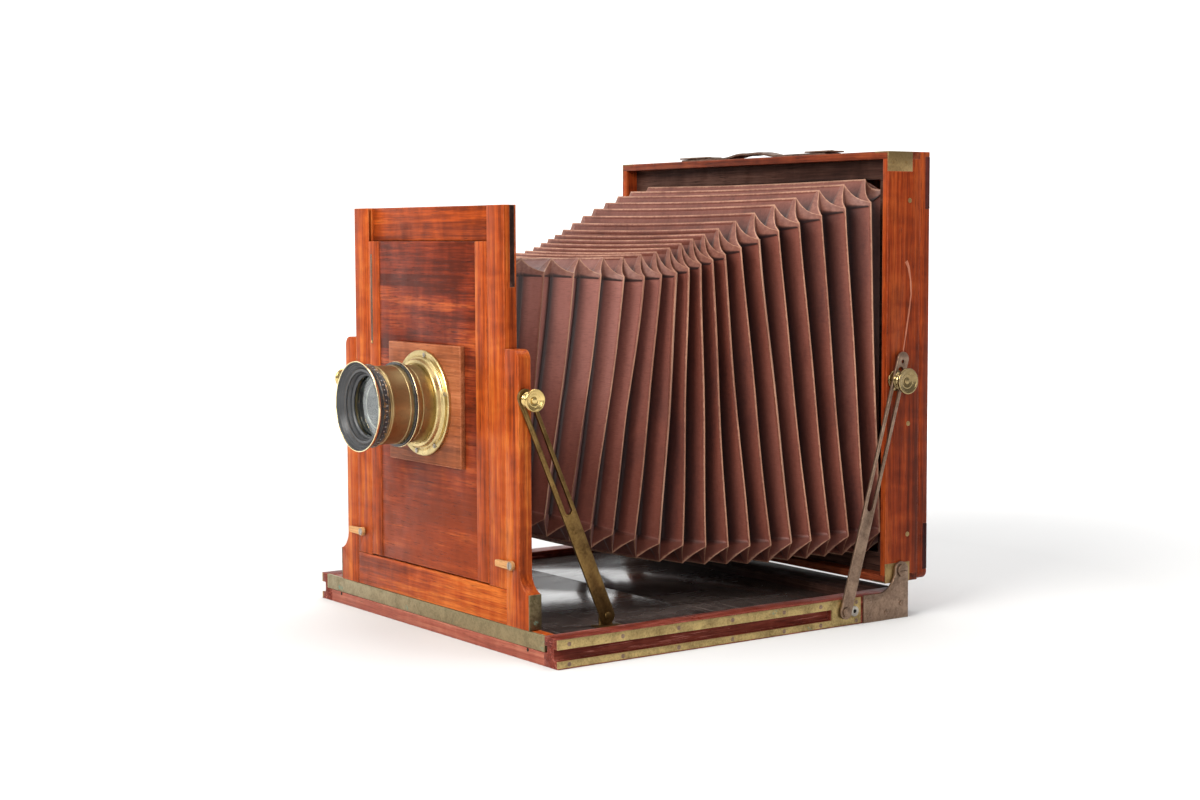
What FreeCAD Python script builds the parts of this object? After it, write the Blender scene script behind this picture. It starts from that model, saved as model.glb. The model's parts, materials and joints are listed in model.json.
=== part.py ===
"""Mahogany field view camera, extended for use, one STEP file per piece.

Millimetres. X runs across the camera, to the right for someone who looks at the lens from the
front, Y runs from the lens (-Y) to the focusing screen (+Y) and Z is up. Depths below are measured
along Y from the front edge of the bed; save() moves every piece so that the origin is the tripod
bush, on the bed's underside. The pieces called left are at -X.
"""
import FreeCAD, Part
import math
import os

V = FreeCAD.Vector

# ---------------------------------------------------------------- driving dimensions
BED_HALF = 182.5          # half width over the brass side plates
BED_LENGTH = 346.0
BED_THICK = 22.5
RAIL_WIDTH = 18.0
ORIGIN_DEPTH = 172.0      # tripod bush centre, from the bed's front edge

TRACK_LOW, TRACK_HIGH = 5.9, 14.5     # brass lined track along each side of the bed
TRACK_END = 264.0
TRACK_DEPTH = 6.0
SIDE_PLATE = 1.5
SIDE_PLATE_END = 295.0

FLOOR_LOW, FLOOR_HIGH = 10.3, 15.3    # ebonised boards, let into grooves in the rails
FLOOR_JOINT = 175.5
GROOVE_DEPTH = 4.0
STRIP = (-173.0, 165.0)               # brass strip across the front, left and right ends
STRIP_THICK = 2.6
BATTEN_TOP = 22.4
REAR_RAIL_START = 306.0

STANDARD_THICK = 10.8
FOOT_Z = 22.6                          # underside of the front standard
BASE_TOP = 49.2
FOOT_HALF = 144.4
LEG_OUTER, LEG_INNER = 133.0, 115.0
LEG_TOP = 229.5
TILT_AXIS = (13.3, 18.5)               # depth and height of the front tilt hinge

FRAME_HALF = 114.7                     # rising frame
FRAME_LOW, FRAME_HIGH = 49.6, 336.0
STILE_INNER = 91.0
PANEL_LOW, PANEL_HIGH = 50.5, 309.0
CLEAT_INNER = 74.0
RAIL_FRONT = 4.6                       # the frame's cross rails lie this far behind its face

LENS_X, LENS_Z = 2.5, 182.5
BOARD_HALF = 55.2
BOARD_LOW, BOARD_HIGH = 134.5, 229.0
BOARD_FRONT = -4.0
FLANGE_R = 41.7
HOOD_R = 35.0
HOOD_FRONT = -63.5
BARREL_BORE = 25.0

FRONT_STUD = (5.4, 193.0)              # depth and height of the thumb nut studs
FRONT_STRUT_FOOT = (78.0, 24.0)
FRONT_STRUT_X = 133.6
FRONT_STRUT_HALF = 6.5                 # half width
FRONT_STRUT_REACH = 1.6                # from the stud to the centre of the rounded top
FRONT_STUD_R = 2.4
FRONT_FOOT_PIN_R = 2.4
FRONT_SLOT = (91.0, 185.2)             # ends of the slot, from the foot pivot
FRONT_SLOT_PLAY = 0.6
LIP_HALF, LIP_HEIGHT = 4.6, 0.7        # raised lip round the slot
REAR_STUD = (332.5, 195.0)
REAR_STRUT_FOOT = (277.2, 11.4)
REAR_STRUT_X = 183.05
REAR_STRUT_HALF = 5.75
REAR_STRUT_REACH = 18.0
REAR_STRUT_HOLE = 207.6                # small hole above the slot, from the foot pivot
REAR_STUD_R = 2.6
REAR_SLOT = (86.0, 200.0)
REAR_SLOT_PLAY = 0.5
STRUT_THICK = 2.0

BOX_HALF = 181.0                       # rear box
BOX_FRONT, BOX_REAR = 323.0, 358.5
BOX_LOW, BOX_HIGH = 29.3, 379.3
BOX_WALL = 6.0
EAR = (338.8, 39.3)                    # pivot of the rear box in the bed's bracket ears
EAR_R = 7.2
BRACKET_X = 181.3
BRACKET_THICK = 2.5
PIVOT_R = 2.5
RUNNING = 0.06                         # radial clearance of a turning fit

BACK_REAR = 369.2
BACK_HALF_W = 155.0                    # rebate for the screen or a plate holder
BACK_LOW, BACK_HIGH = 74.8, 333.8
REGISTER = 361.7
SCREEN_REAR = 372.0
SCREEN_HINGE = (-157.0, 374.3)         # x and depth of the screen's hinge pin

BELLOWS_WALL = 3.0
BELLOWS_STATIONS = (                   # depth, half width, underside, top
    (16.0, 97.0, 89.0, 296.0),
    (122.0, 101.0, 61.0, 297.0),
    (190.0, 123.0, 48.0, 314.0),
    (318.0, 167.0, 48.0, 356.0),
    (335.0, 167.0, 50.0, 357.0),
)
BUSH_WALL_R = 4.0                      # tapped hole of the tripod bush
BUSH_R = 16.0
BUSH_LENGTH = 10.0

LEFT_BUTTON = (-106.0, 67.4)           # x and height of the turn buttons' pivots
RIGHT_BUTTON = (123.7, 68.7)
BUTTON_SHANK = 1.5

FLANGE_SCREWS = (80, 15, -55, 200, 135, 260)     # degrees round the flange
FLANGE_SCREW_RADIUS = 38.6

CORNER_PLATE_SIDE = 16.0               # along each face of the box
CORNER_PLATE_DEPTH = (BOX_FRONT, 350.0)
CORNER_PLATE_THICK = 1.0

HANDLE_DEPTH = (332.0, 350.0)
STRAP_THICK = 2.4
STRAP_RISE = 4.0                       # how far the curled strap stands off the box top


# ---------------------------------------------------------------- helpers
def box(x0, x1, y0, y1, z0, z1):
    return Part.makeBox(x1 - x0, y1 - y0, z1 - z0, V(x0, y0, z0))


def rod_x(depth, z, radius, x0, x1):
    return Part.makeCylinder(radius, x1 - x0, V(x0, depth, z), V(1, 0, 0))


def rod_y(x, z, radius, y0, y1):
    return Part.makeCylinder(radius, y1 - y0, V(x, y0, z), V(0, 1, 0))


def rod_z(x, depth, radius, z0, z1):
    return Part.makeCylinder(radius, z1 - z0, V(x, depth, z0), V(0, 0, 1))


def ring_y(x, z, outer, inner, y0, y1):
    return rod_y(x, z, outer, y0, y1).cut(rod_y(x, z, inner, y0 - 1, y1 + 1))


def turned_x(profile, depth, z):
    """A turned piece about an axis along X; profile is a list of (x, radius)."""
    points = [V(x, depth, z + radius) for x, radius in profile]
    face = Part.Face(Part.makePolygon(points + points[:1]))
    return face.revolve(V(0, depth, z), V(1, 0, 0), 360)


def turned_y(profile, x=LENS_X, z=LENS_Z):
    """A turned piece about the lens axis; profile is a list of (depth, radius)."""
    points = [V(x + radius, depth, z) for depth, radius in profile]
    face = Part.Face(Part.makePolygon(points + points[:1]))
    return face.revolve(V(x, 0, z), V(0, 1, 0), 360)


def mirrored(shape):
    return shape.mirror(V(0, 0, 0), V(1, 0, 0))


def pair(shape):
    return [shape, mirrored(shape)]


def outline(segments, direction):
    """A prism from a closed outline; an entry of two points is a line, of three an arc."""
    edges = []
    for points in segments:
        if len(points) == 2:
            edges.append(Part.LineSegment(*points).toShape())
        else:
            edges.append(Part.Arc(*points).toShape())
    return Part.Face(Part.Wire(edges)).extrude(direction)


def save(name, *solids):
    """Write the solids as one STEP file, moved so that the tripod bush is the origin."""
    shape = solids[0] if len(solids) == 1 else Part.makeCompound(list(solids))
    shape = shape.copy()
    shape.translate(V(0, -ORIGIN_DEPTH, 0))
    shape.exportStep(os.path.join("parts", name + ".step"))


def save_sides(name, shape):
    """Write a right-hand piece and its mirror image as two nodes."""
    save(name + "_right", shape)
    save(name + "_left", mirrored(shape))


def slotted_bar(foot, stud, reach, half_width, slot, slot_half, x0, thick, lip=None):
    """A strut from its foot pivot past its stud, with a slot between two distances along it."""
    length = math.hypot(stud[0] - foot[0], stud[1] - foot[1])
    bar = box(x0, x0 + thick, -half_width, half_width, 0, length + reach)
    for height in (0, length + reach):
        bar = bar.fuse(rod_x(0, height, half_width, x0, x0 + thick))
    if lip:
        bar = bar.fuse(lip)
    opening = box(x0 - 5, x0 + 9, -slot_half, slot_half, slot[0], slot[1])
    for height in slot:
        opening = opening.fuse(rod_x(0, height, slot_half, x0 - 5, x0 + 9))
    return bar.removeSplitter().cut(opening)


def stand_on_foot(shape, foot, stud):
    """Turn a bar drawn upright at depth 0 so that it runs from its foot to its stud."""
    lean = math.degrees(math.atan2(foot[0] - stud[0], stud[1] - foot[1]))
    shape.rotate(V(0, 0, 0), V(1, 0, 0), lean)
    shape.translate(V(0, foot[0], foot[1]))
    return shape


# ---------------------------------------------------------------- the bed
def side_rail(side):
    inner, outer = BED_HALF - RAIL_WIDTH, BED_HALF
    rail = box(inner, outer, 0, BED_LENGTH, 0, BED_THICK)
    plate_seat = box(BED_HALF - SIDE_PLATE, outer + 1, -1, SIDE_PLATE_END, 0.8, BED_THICK - 0.7)
    track = box(outer - TRACK_DEPTH, outer + 1, -1, TRACK_END, TRACK_LOW, TRACK_HIGH)
    bracket_seat = box(BRACKET_X - 0.1, outer + 1, SIDE_PLATE_END + 2, BED_LENGTH + 1, -1, BED_THICK + 1)
    groove = box(inner - 1, inner + GROOVE_DEPTH, -1, REAR_RAIL_START, FLOOR_LOW - 0.2, FLOOR_HIGH + 0.2)
    rail = rail.cut(plate_seat).cut(track).cut(bracket_seat).cut(groove)
    strip_end = STRIP[1] if side > 0 else -STRIP[0]
    rail = rail.cut(box(inner - 1, strip_end + 0.3, -1, STRIP_THICK + 0.2, 10.1, BED_THICK + 1))
    return rail if side > 0 else mirrored(rail)


def side_plate():
    plate = box(BED_HALF - SIDE_PLATE, BED_HALF, 0, SIDE_PLATE_END, 0.8, BED_THICK - 0.7)
    plate = plate.cut(box(BED_HALF - 9, BED_HALF + 1, -1, TRACK_END, TRACK_LOW, TRACK_HIGH))
    return plate.cut(rod_x(*REAR_STRUT_FOOT, PIVOT_R, BED_HALF - 9, BED_HALF + 1))


def rear_bracket():
    x = BRACKET_X
    front, rear = SIDE_PLATE_END + 2, BED_LENGTH
    ear_y, ear_z = EAR
    neck = ear_y - EAR_R
    segments = [
        (V(x, front, 0), V(x, rear, 0)),
        (V(x, rear, 0), V(x, rear, ear_z)),
        (V(x, rear, ear_z), V(x, ear_y, ear_z + EAR_R), V(x, neck, ear_z)),
        (V(x, neck, ear_z), V(x, neck - 4.5, ear_z - 11), V(x, neck - 15, BED_THICK)),
        (V(x, neck - 15, BED_THICK), V(x, front, BED_THICK)),
        (V(x, front, BED_THICK), V(x, front, 0)),
    ]
    plate = outline(segments, V(BRACKET_THICK, 0, 0))
    return plate.cut(rod_x(ear_y, ear_z, PIVOT_R + RUNNING, x - 1, x + BRACKET_THICK + 1))


def screw_head_x(depth, z, radius, x, height):
    """A slotted round head standing on a face whose outward normal is +X."""
    head = rod_x(depth, z, radius, x, x + height)
    return head.cut(box(x + height * 0.5, x + height + 1, depth - radius, depth + radius, z - 0.25, z + 0.25))


def build_bed():
    rail_inner = BED_HALF - RAIL_WIDTH
    save("side_rail_right", side_rail(1))
    save("side_rail_left", side_rail(-1))
    save("side_plates", *pair(side_plate()))
    front_rail = box(-rail_inner, rail_inner, 0, 30, 0, 10.0)
    bush_seat = rod_z(0, ORIGIN_DEPTH, BUSH_R, -1, BUSH_LENGTH + 1)
    middle_rail = box(-rail_inner, rail_inner, 142, 202, 0, 10.0).cut(bush_seat)
    save("lower_cross_rails", front_rail, middle_rail)
    save("rear_cross_rail", box(-rail_inner, rail_inner, REAR_RAIL_START, BED_LENGTH, 0, BED_THICK))
    board_half = rail_inner + GROOVE_DEPTH - 0.2
    board = box(-board_half, board_half, FLOOR_JOINT + 1, REAR_RAIL_START, FLOOR_LOW, FLOOR_HIGH)
    save("rear_floor_board", board)
    save("rear_brackets", *pair(rear_bracket()))
    bush = rod_z(0, ORIGIN_DEPTH, BUSH_R, 0, BUSH_LENGTH)
    bush = bush.cut(rod_z(0, ORIGIN_DEPTH, BUSH_WALL_R, -1, BUSH_LENGTH + 1))
    save("tripod_bush", bush)
    fasteners = []
    for depth in (10, 58, 110, 162, 214, 252, 290):
        for z in (3.3, 18.2):
            fasteners += pair(screw_head_x(depth, z, 1.7, BED_HALF, 0.35))
    for depth, z in ((303, 5), (303, 17), (322, 6), (339, 12)):
        fasteners += pair(screw_head_x(depth, z, 2.4, BRACKET_X + BRACKET_THICK, 0.5))
    pin = rod_x(*REAR_STRUT_FOOT, PIVOT_R, BED_HALF - SIDE_PLATE, 187.0)
    pin = pin.fuse(rod_x(*REAR_STRUT_FOOT, 4.0, 185.3, 186.6)).removeSplitter()
    save("bed_fasteners", *fasteners, *pair(pin))


# ---------------------------------------------------------------- sliding front board
def hinge_knuckles(x0, spans):
    depth, z = TILT_AXIS
    return [rod_x(depth, z, 2.6, x0 + a, x0 + b) for a, b in spans]


def fixed_hinge(x0):
    depth, z = TILT_AXIS
    leaf = box(x0 + 10.2, x0 + 19.8, depth, 34, FLOOR_HIGH, FLOOR_HIGH + 1.4)
    leaf = leaf.fuse(hinge_knuckles(x0, ((10.2, 19.8),))[0]).removeSplitter()
    bore = rod_x(depth, z, 1.2, x0 - 1, x0 + 31)
    return [leaf.cut(bore), rod_x(depth, z, 1.2, x0 - 0.4, x0 + 30.4)]


def strut_foot():
    depth, z = FRONT_STRUT_FOOT
    foot = box(127, 146, depth - 10, depth + 12, FLOOR_HIGH, FLOOR_HIGH + 1.5)
    ear = box(131.2, 133.3, depth - 6, depth + 6, FLOOR_HIGH, z).fuse(rod_x(depth, z, 6, 131.2, 133.3))
    pin = rod_x(depth, z, FRONT_FOOT_PIN_R, 131.2, 136.5).fuse(rod_x(depth, z, 3.0, 135.9, 136.5))
    return foot.fuse(ear).fuse(pin).removeSplitter()


def build_focus_slide():
    rail_inner = BED_HALF - RAIL_WIDTH
    board_half = rail_inner + GROOVE_DEPTH - 0.2
    save("sliding_board", box(-board_half, board_half, STRIP_THICK, FLOOR_JOINT, FLOOR_LOW, FLOOR_HIGH))
    batten_half = rail_inner - 0.3
    save("slide_batten", box(-batten_half, batten_half, STRIP_THICK, 10.4, FLOOR_HIGH, BATTEN_TOP))
    save("front_strip", box(STRIP[0], STRIP[1], 0, STRIP_THICK, FLOOR_LOW, BATTEN_TOP - 0.1))
    save("front_strut_feet", *pair(strut_foot()))
    save("standard_hinges", *fixed_hinge(55), *fixed_hinge(-85))


# ---------------------------------------------------------------- front standard
def standard_leg():
    arc_mid = V(LEG_OUTER - 2.2, 0, LEG_TOP - 2.2)
    segments = [
        (V(LEG_INNER, 0, FOOT_Z), V(FOOT_HALF, 0, FOOT_Z)),
        (V(FOOT_HALF, 0, FOOT_Z), V(FOOT_HALF, 0, BASE_TOP)),
        (V(FOOT_HALF, 0, BASE_TOP), V(136.2, 0, 55.0), V(LEG_OUTER, 0, 67.0)),
        (V(LEG_OUTER, 0, 67.0), V(LEG_OUTER, 0, LEG_TOP - 7.5)),
        (V(LEG_OUTER, 0, LEG_TOP - 7.5), arc_mid, V(LEG_OUTER - 7.5, 0, LEG_TOP)),
        (V(LEG_OUTER - 7.5, 0, LEG_TOP), V(LEG_INNER, 0, LEG_TOP)),
        (V(LEG_INNER, 0, LEG_TOP), V(LEG_INNER, 0, FOOT_Z)),
    ]
    leg = outline(segments, V(0, STANDARD_THICK, 0))
    groove = box(LEG_INNER - 1, LEG_INNER + 3.6, 5.2, 8.6, BASE_TOP, LEG_TOP + 1)
    stud_hole = rod_x(*FRONT_STUD, FRONT_STUD_R, 121, 140)
    return leg.cut(groove).cut(stud_hole)


def moving_hinge(x0):
    depth, z = TILT_AXIS
    leaf = box(x0, x0 + 30, STANDARD_THICK, STANDARD_THICK + 1.4, z, 44)
    leaf = leaf.cut(box(x0 + 9.8, x0 + 20.2, 0, 20, z - 4, z + 3.4))
    for knuckle in hinge_knuckles(x0, ((0, 10), (20, 30))):
        leaf = leaf.fuse(knuckle)
    return leaf.removeSplitter().cut(rod_x(depth, z, 1.2 + RUNNING, x0 - 1, x0 + 31))


def thumb_nut(base, bore, collar, disc, stud):
    """A turned nut with a dished face, starting at x = base."""
    profile = [
        (base, bore), (base, collar), (base + 2.4, collar), (base + 4.4, collar * 0.72),
        (base + 6.6, collar * 0.8), (base + 9.4, disc), (base + 11.2, disc), (base + 11.2, disc - 1.0),
        (base + 9.3, disc * 0.62), (base + 8.9, bore),
    ]
    return turned_x(profile, *stud)


def front_strut():
    """The brass strut beside the front standard, with a raised lip round its long slot."""
    x0, x1 = FRONT_STRUT_X, FRONT_STRUT_X + STRUT_THICK
    slot_low, slot_high = FRONT_SLOT
    lip = box(x0, x1 + LIP_HEIGHT, -LIP_HALF, LIP_HALF, slot_low, slot_high)
    lip = lip.fuse(rod_x(0, slot_low, LIP_HALF, x0, x1 + LIP_HEIGHT))
    slot_half = FRONT_STUD_R + FRONT_SLOT_PLAY
    size = (FRONT_STRUT_REACH, FRONT_STRUT_HALF, FRONT_SLOT, slot_half)
    bar = slotted_bar(FRONT_STRUT_FOOT, FRONT_STUD, *size, x0, STRUT_THICK, lip)
    bar = bar.cut(rod_x(0, 0, FRONT_FOOT_PIN_R + RUNNING, x0 - 1, x1 + 1))
    return stand_on_foot(bar, FRONT_STRUT_FOOT, FRONT_STUD)


def build_front_standard():
    save("standard_base", box(-LEG_INNER, LEG_INNER, 0, STANDARD_THICK, FOOT_Z, BASE_TOP))
    legs = pair(standard_leg())
    button_hole = rod_y(*RIGHT_BUTTON, BUTTON_SHANK + RUNNING, -1, 9)
    save("standard_legs", legs[0].cut(button_hole), legs[1])
    save("foot_plates", *pair(box(FOOT_HALF, FOOT_HALF + 1.2, 0, STANDARD_THICK, FOOT_Z + 0.4, BASE_TOP)))
    save("standard_hinge_leaves", moving_hinge(55), moving_hinge(-85))
    save("front_studs", *pair(rod_x(*FRONT_STUD, FRONT_STUD_R, 121, 146.5)))
    save_sides("front_nut", thumb_nut(136.7, FRONT_STUD_R + RUNNING, 5.7, 8.5, FRONT_STUD))
    save_sides("front_strut", front_strut())


# ---------------------------------------------------------------- rising frame and lens panel
def turn_button(x, z):
    """A wooden turn button pointing to -X, with its screw, standing just off the face."""
    tongue = box(x - 20.5, x, -2.9, -0.4, z - 2.6, z + 2.6).fuse(rod_y(x, z, 3.6, -2.9, -0.4))
    screw = rod_y(x, z, BUTTON_SHANK, -2.9, 7.0).fuse(rod_y(x, z, 2.9, -3.7, -2.9))
    return tongue.fuse(screw).removeSplitter()


def frame_stile():
    stile = box(STILE_INNER, FRAME_HALF, 0, STANDARD_THICK, FRAME_LOW, FRAME_HIGH)
    panel_groove = box(STILE_INNER - 1, STILE_INNER + 3.2, 0.7, 3.0, FRAME_LOW - 1, FRAME_HIGH + 1)
    edge_groove = box(FRAME_HALF - 4, FRAME_HALF + 1, 5.2, 9.6, 275, FRAME_HIGH + 1)
    tongue = box(FRAME_HALF, FRAME_HALF + 3.6, 5.4, 8.4, FRAME_LOW + 0.4, 227)
    return stile.cut(panel_groove).cut(edge_groove).fuse(tongue).removeSplitter()


def frame_ring(half_w, low, high, border, y0, y1):
    """A rectangular ring across the camera."""
    outer = box(-half_w, half_w, y0, y1, low, high)
    inner = box(-half_w + border, half_w - border, y0 - 1, y1 + 1, low + border, high - border)
    return outer.cut(inner)


def build_rising_frame():
    stiles = pair(frame_stile())
    hole = rod_y(*LEFT_BUTTON, BUTTON_SHANK + RUNNING, -1, 9)
    save("frame_stiles", stiles[0], stiles[1].cut(hole))
    top = box(-STILE_INNER, STILE_INNER, RAIL_FRONT, STANDARD_THICK, 309.3, FRAME_HIGH)
    bottom = box(-STILE_INNER, STILE_INNER, RAIL_FRONT, STANDARD_THICK, FRAME_LOW, 76)
    save("frame_rails", top, bottom)
    save("bellows_front_frame", frame_ring(99, 76, 312, 14, STANDARD_THICK, 16.0))
    save("turn_button_left", turn_button(*LEFT_BUTTON))
    save("turn_button_right", turn_button(*RIGHT_BUTTON))


def build_lens_panel():
    hole = rod_y(LENS_X, LENS_Z, 29.0, -10, 10)
    field = box(-CLEAT_INNER, CLEAT_INNER, 0.3, 4.3, PANEL_LOW, PANEL_HIGH).cut(hole)
    save("lens_panel", field)
    cleat = box(CLEAT_INNER, STILE_INNER - 0.2, -0.2, 4.3, PANEL_LOW, PANEL_HIGH)
    tongue = box(STILE_INNER - 0.2, STILE_INNER + 2.9, 0.9, 2.8, PANEL_LOW, PANEL_HIGH)
    save("panel_cleats", *pair(cleat.fuse(tongue).removeSplitter()))
    board = box(LENS_X - BOARD_HALF, LENS_X + BOARD_HALF, BOARD_FRONT, 0.3, BOARD_LOW, BOARD_HIGH)
    save("lens_board", board.cut(hole))


# ---------------------------------------------------------------- the lens
def build_lens():
    tube = 30.4
    flange = turned_y([
        (-4.0, tube), (-4.0, FLANGE_R), (-6.4, FLANGE_R), (-7.0, FLANGE_R - 0.6), (-7.0, 36.4),
        (-8.2, 34.9), (-12.0, 34.4), (-12.5, 33.9), (-12.5, tube),
    ])
    heads = []
    for angle in FLANGE_SCREWS:
        x = LENS_X + FLANGE_SCREW_RADIUS * math.cos(math.radians(angle))
        z = LENS_Z + FLANGE_SCREW_RADIUS * math.sin(math.radians(angle))
        head = rod_y(x, z, 1.8, -7.6, -7.0)
        heads.append(head.cut(box(x - 2, x + 2, -8, -7.3, z - 0.25, z + 0.25)))
    save("lens_flange", flange)
    save("flange_screws", *heads)
    barrel = turned_y([
        (15.0, BARREL_BORE), (15.0, 28.0), (-4.0, 28.0), (-4.0, tube), (-23.8, tube), (-23.8, 31.8),
        (-27.6, 31.8), (-27.6, 31.0), (-33.0, 31.0), (-33.4, 30.5), (-50.6, 30.5), (-51.2, 30.0),
        (-51.2, 27.0), (-57.2, 27.0), (-57.2, BARREL_BORE),
    ])
    save("lens_barrel", barrel)
    save("barrel_ring", turned_y([(-27.6, 31.0), (-27.6, 33.0), (-29.6, 33.0), (-29.6, 31.0)]))
    iris_bore = 27.0 + RUNNING
    save("iris_ring", turned_y([
        (-51.4, iris_bore), (-51.4, 31.8), (-52.2, 32.4), (-57.6, 32.4), (-58.4, 31.8), (-58.4, iris_bore),
    ]))
    save("lens_hood", turned_y([
        (-57.2, BARREL_BORE), (-57.2, 27.0), (-58.6, 27.0), (-58.6, 32.2), (-61.6, HOOD_R),
        (HOOD_FRONT, HOOD_R), (HOOD_FRONT, HOOD_R - 0.8), (-61.2, 32.6), (-60.4, 32.4),
        (-60.4, 29.6), (-59.4, 29.4), (-59.4, 27.4), (-58.6, BARREL_BORE),
    ]))
    save("front_element", lens_disc(-50.0, -53.6, -45.0))
    save("rear_element", lens_disc(11.0, 13.6, 6.0))


def lens_disc(rim, crown, back):
    """A glass with one domed face: depths of the dome's rim and crown, and of the flat face."""
    sag = abs(crown - rim)
    dome_r = (BARREL_BORE ** 2 + sag ** 2) / (2 * sag)
    centre = crown - math.copysign(dome_r, crown - rim)
    blank = rod_y(LENS_X, LENS_Z, BARREL_BORE, min(back, crown) - 1, max(back, crown) + 1)
    blank = blank.cut(box(-99, 99, *sorted((back, back - math.copysign(99, crown - rim))), 0, 300))
    return blank.common(Part.makeSphere(dome_r, V(LENS_X, centre, LENS_Z)))


# ---------------------------------------------------------------- bellows
def bellows_skin(inset, stations):
    wires = []
    for depth, half, low, high in stations:
        corners = [
            V(-half + inset, depth, low + inset), V(half - inset, depth, low + inset),
            V(half - inset, depth, high - inset), V(-half + inset, depth, high - inset),
        ]
        wires.append(Part.makePolygon(corners + corners[:1]))
    return Part.makeLoft(wires, True, True)


def build_bellows():
    first, last = BELLOWS_STATIONS[0], BELLOWS_STATIONS[-1]
    bore = (
        (first[0] - 1,) + first[1:], *BELLOWS_STATIONS[1:-1], (last[0] + 1,) + last[1:],
    )
    skin = bellows_skin(0, BELLOWS_STATIONS).cut(bellows_skin(BELLOWS_WALL, bore))
    save("bellows", skin)


# ---------------------------------------------------------------- rear box
def corner_plate(high):
    z_edge = BOX_HIGH if high else BOX_LOW
    inward = -1 if high else 1
    z0, z1 = sorted((z_edge, z_edge + inward * CORNER_PLATE_SIDE))
    upright = box(BOX_HALF - CORNER_PLATE_THICK, BOX_HALF, *CORNER_PLATE_DEPTH, z0, z1)
    z0, z1 = sorted((z_edge, z_edge + inward * CORNER_PLATE_THICK))
    level = box(BOX_HALF - CORNER_PLATE_SIDE, BOX_HALF, *CORNER_PLATE_DEPTH, z0, z1)
    return upright.fuse(level).removeSplitter()


def build_rear_box():
    plates = pair(corner_plate(True)) + pair(corner_plate(False))
    walls = {
        "box_top": [box(-BOX_HALF, BOX_HALF, BOX_FRONT, BOX_REAR, BOX_HIGH - BOX_WALL, BOX_HIGH)],
        "box_bottom": [box(-BOX_HALF, BOX_HALF, BOX_FRONT, BOX_REAR, BOX_LOW, BOX_LOW + BOX_WALL)],
        "box_sides": pair(box(BOX_HALF - BOX_WALL, BOX_HALF, BOX_FRONT, BOX_REAR,
                              BOX_LOW + BOX_WALL, BOX_HIGH - BOX_WALL)),
    }
    holes = pair(rod_x(*EAR, PIVOT_R, 170, 190)) + pair(rod_x(*REAR_STUD, REAR_STUD_R, 170, 190))
    for name, solids in walls.items():
        for cutter in plates + holes:
            solids = [solid.cut(cutter) for solid in solids]
        save(name, *solids)
    for cutter in holes:
        plates = [plate.cut(cutter) for plate in plates]
    save("box_corner_plates", *plates)
    save("bellows_rear_frame", frame_ring(BOX_HALF - BOX_WALL, BOX_LOW + BOX_WALL, BOX_HIGH - BOX_WALL,
                                          16, 335.0, 343.0))
    screw = rod_x(*EAR, PIVOT_R, BOX_HALF - BOX_WALL, 185.6).fuse(rod_x(*EAR, 5.0, 184.0, 185.6))
    screw = screw.removeSplitter().cut(box(184.9, 187, EAR[0] - 6, EAR[0] + 6, EAR[1] - 0.5, EAR[1] + 0.5))
    save("box_pivot_screws", *pair(screw))
    stud = rod_x(*REAR_STUD, REAR_STUD_R, BOX_HALF - BOX_WALL, 195.0)
    stud = stud.fuse(rod_x(*REAR_STUD, 8.5, BOX_HALF, 182.6)).removeSplitter()
    save("rear_studs", *pair(stud))
    save_sides("rear_nut", thumb_nut(185.4, REAR_STUD_R + RUNNING, 7.0, 10.6, REAR_STUD))
    size = (REAR_STRUT_REACH, REAR_STRUT_HALF, REAR_SLOT, REAR_STUD_R + REAR_SLOT_PLAY)
    bar = slotted_bar(REAR_STRUT_FOOT, REAR_STUD, *size, REAR_STRUT_X, STRUT_THICK)
    bar = bar.cut(rod_x(0, REAR_STRUT_HOLE, 1.6, 180, 190)).cut(rod_x(0, 0, PIVOT_R + RUNNING, 180, 190))
    save_sides("rear_strut", stand_on_foot(bar, REAR_STRUT_FOOT, REAR_STUD))


# ---------------------------------------------------------------- handle
def build_handle():
    y0, y1 = HANDLE_DEPTH
    z0, z1 = BOX_HIGH, BOX_HIGH + STRAP_THICK
    crest = [(-34, 0), (-22, STRAP_RISE), (10, STRAP_RISE), (20, 0)]
    under = [(-101, 0), *crest, (95, 0)]
    over = [(x, z + STRAP_THICK) for x, z in reversed(under)]
    points = [V(x, y0, z0 + z) for x, z in under + over]
    strap = Part.Face(Part.makePolygon(points + points[:1])).extrude(V(0, y1 - y0, 0))
    save("handle_strap", strap)
    plates = [box(-103, -66, y0 - 1, y1 + 1, z1, z1 + 1.3), box(70, 98, y0 - 1, y1 + 1, z1, z1 + 1.3)]
    save("handle_plates", *plates)


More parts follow.
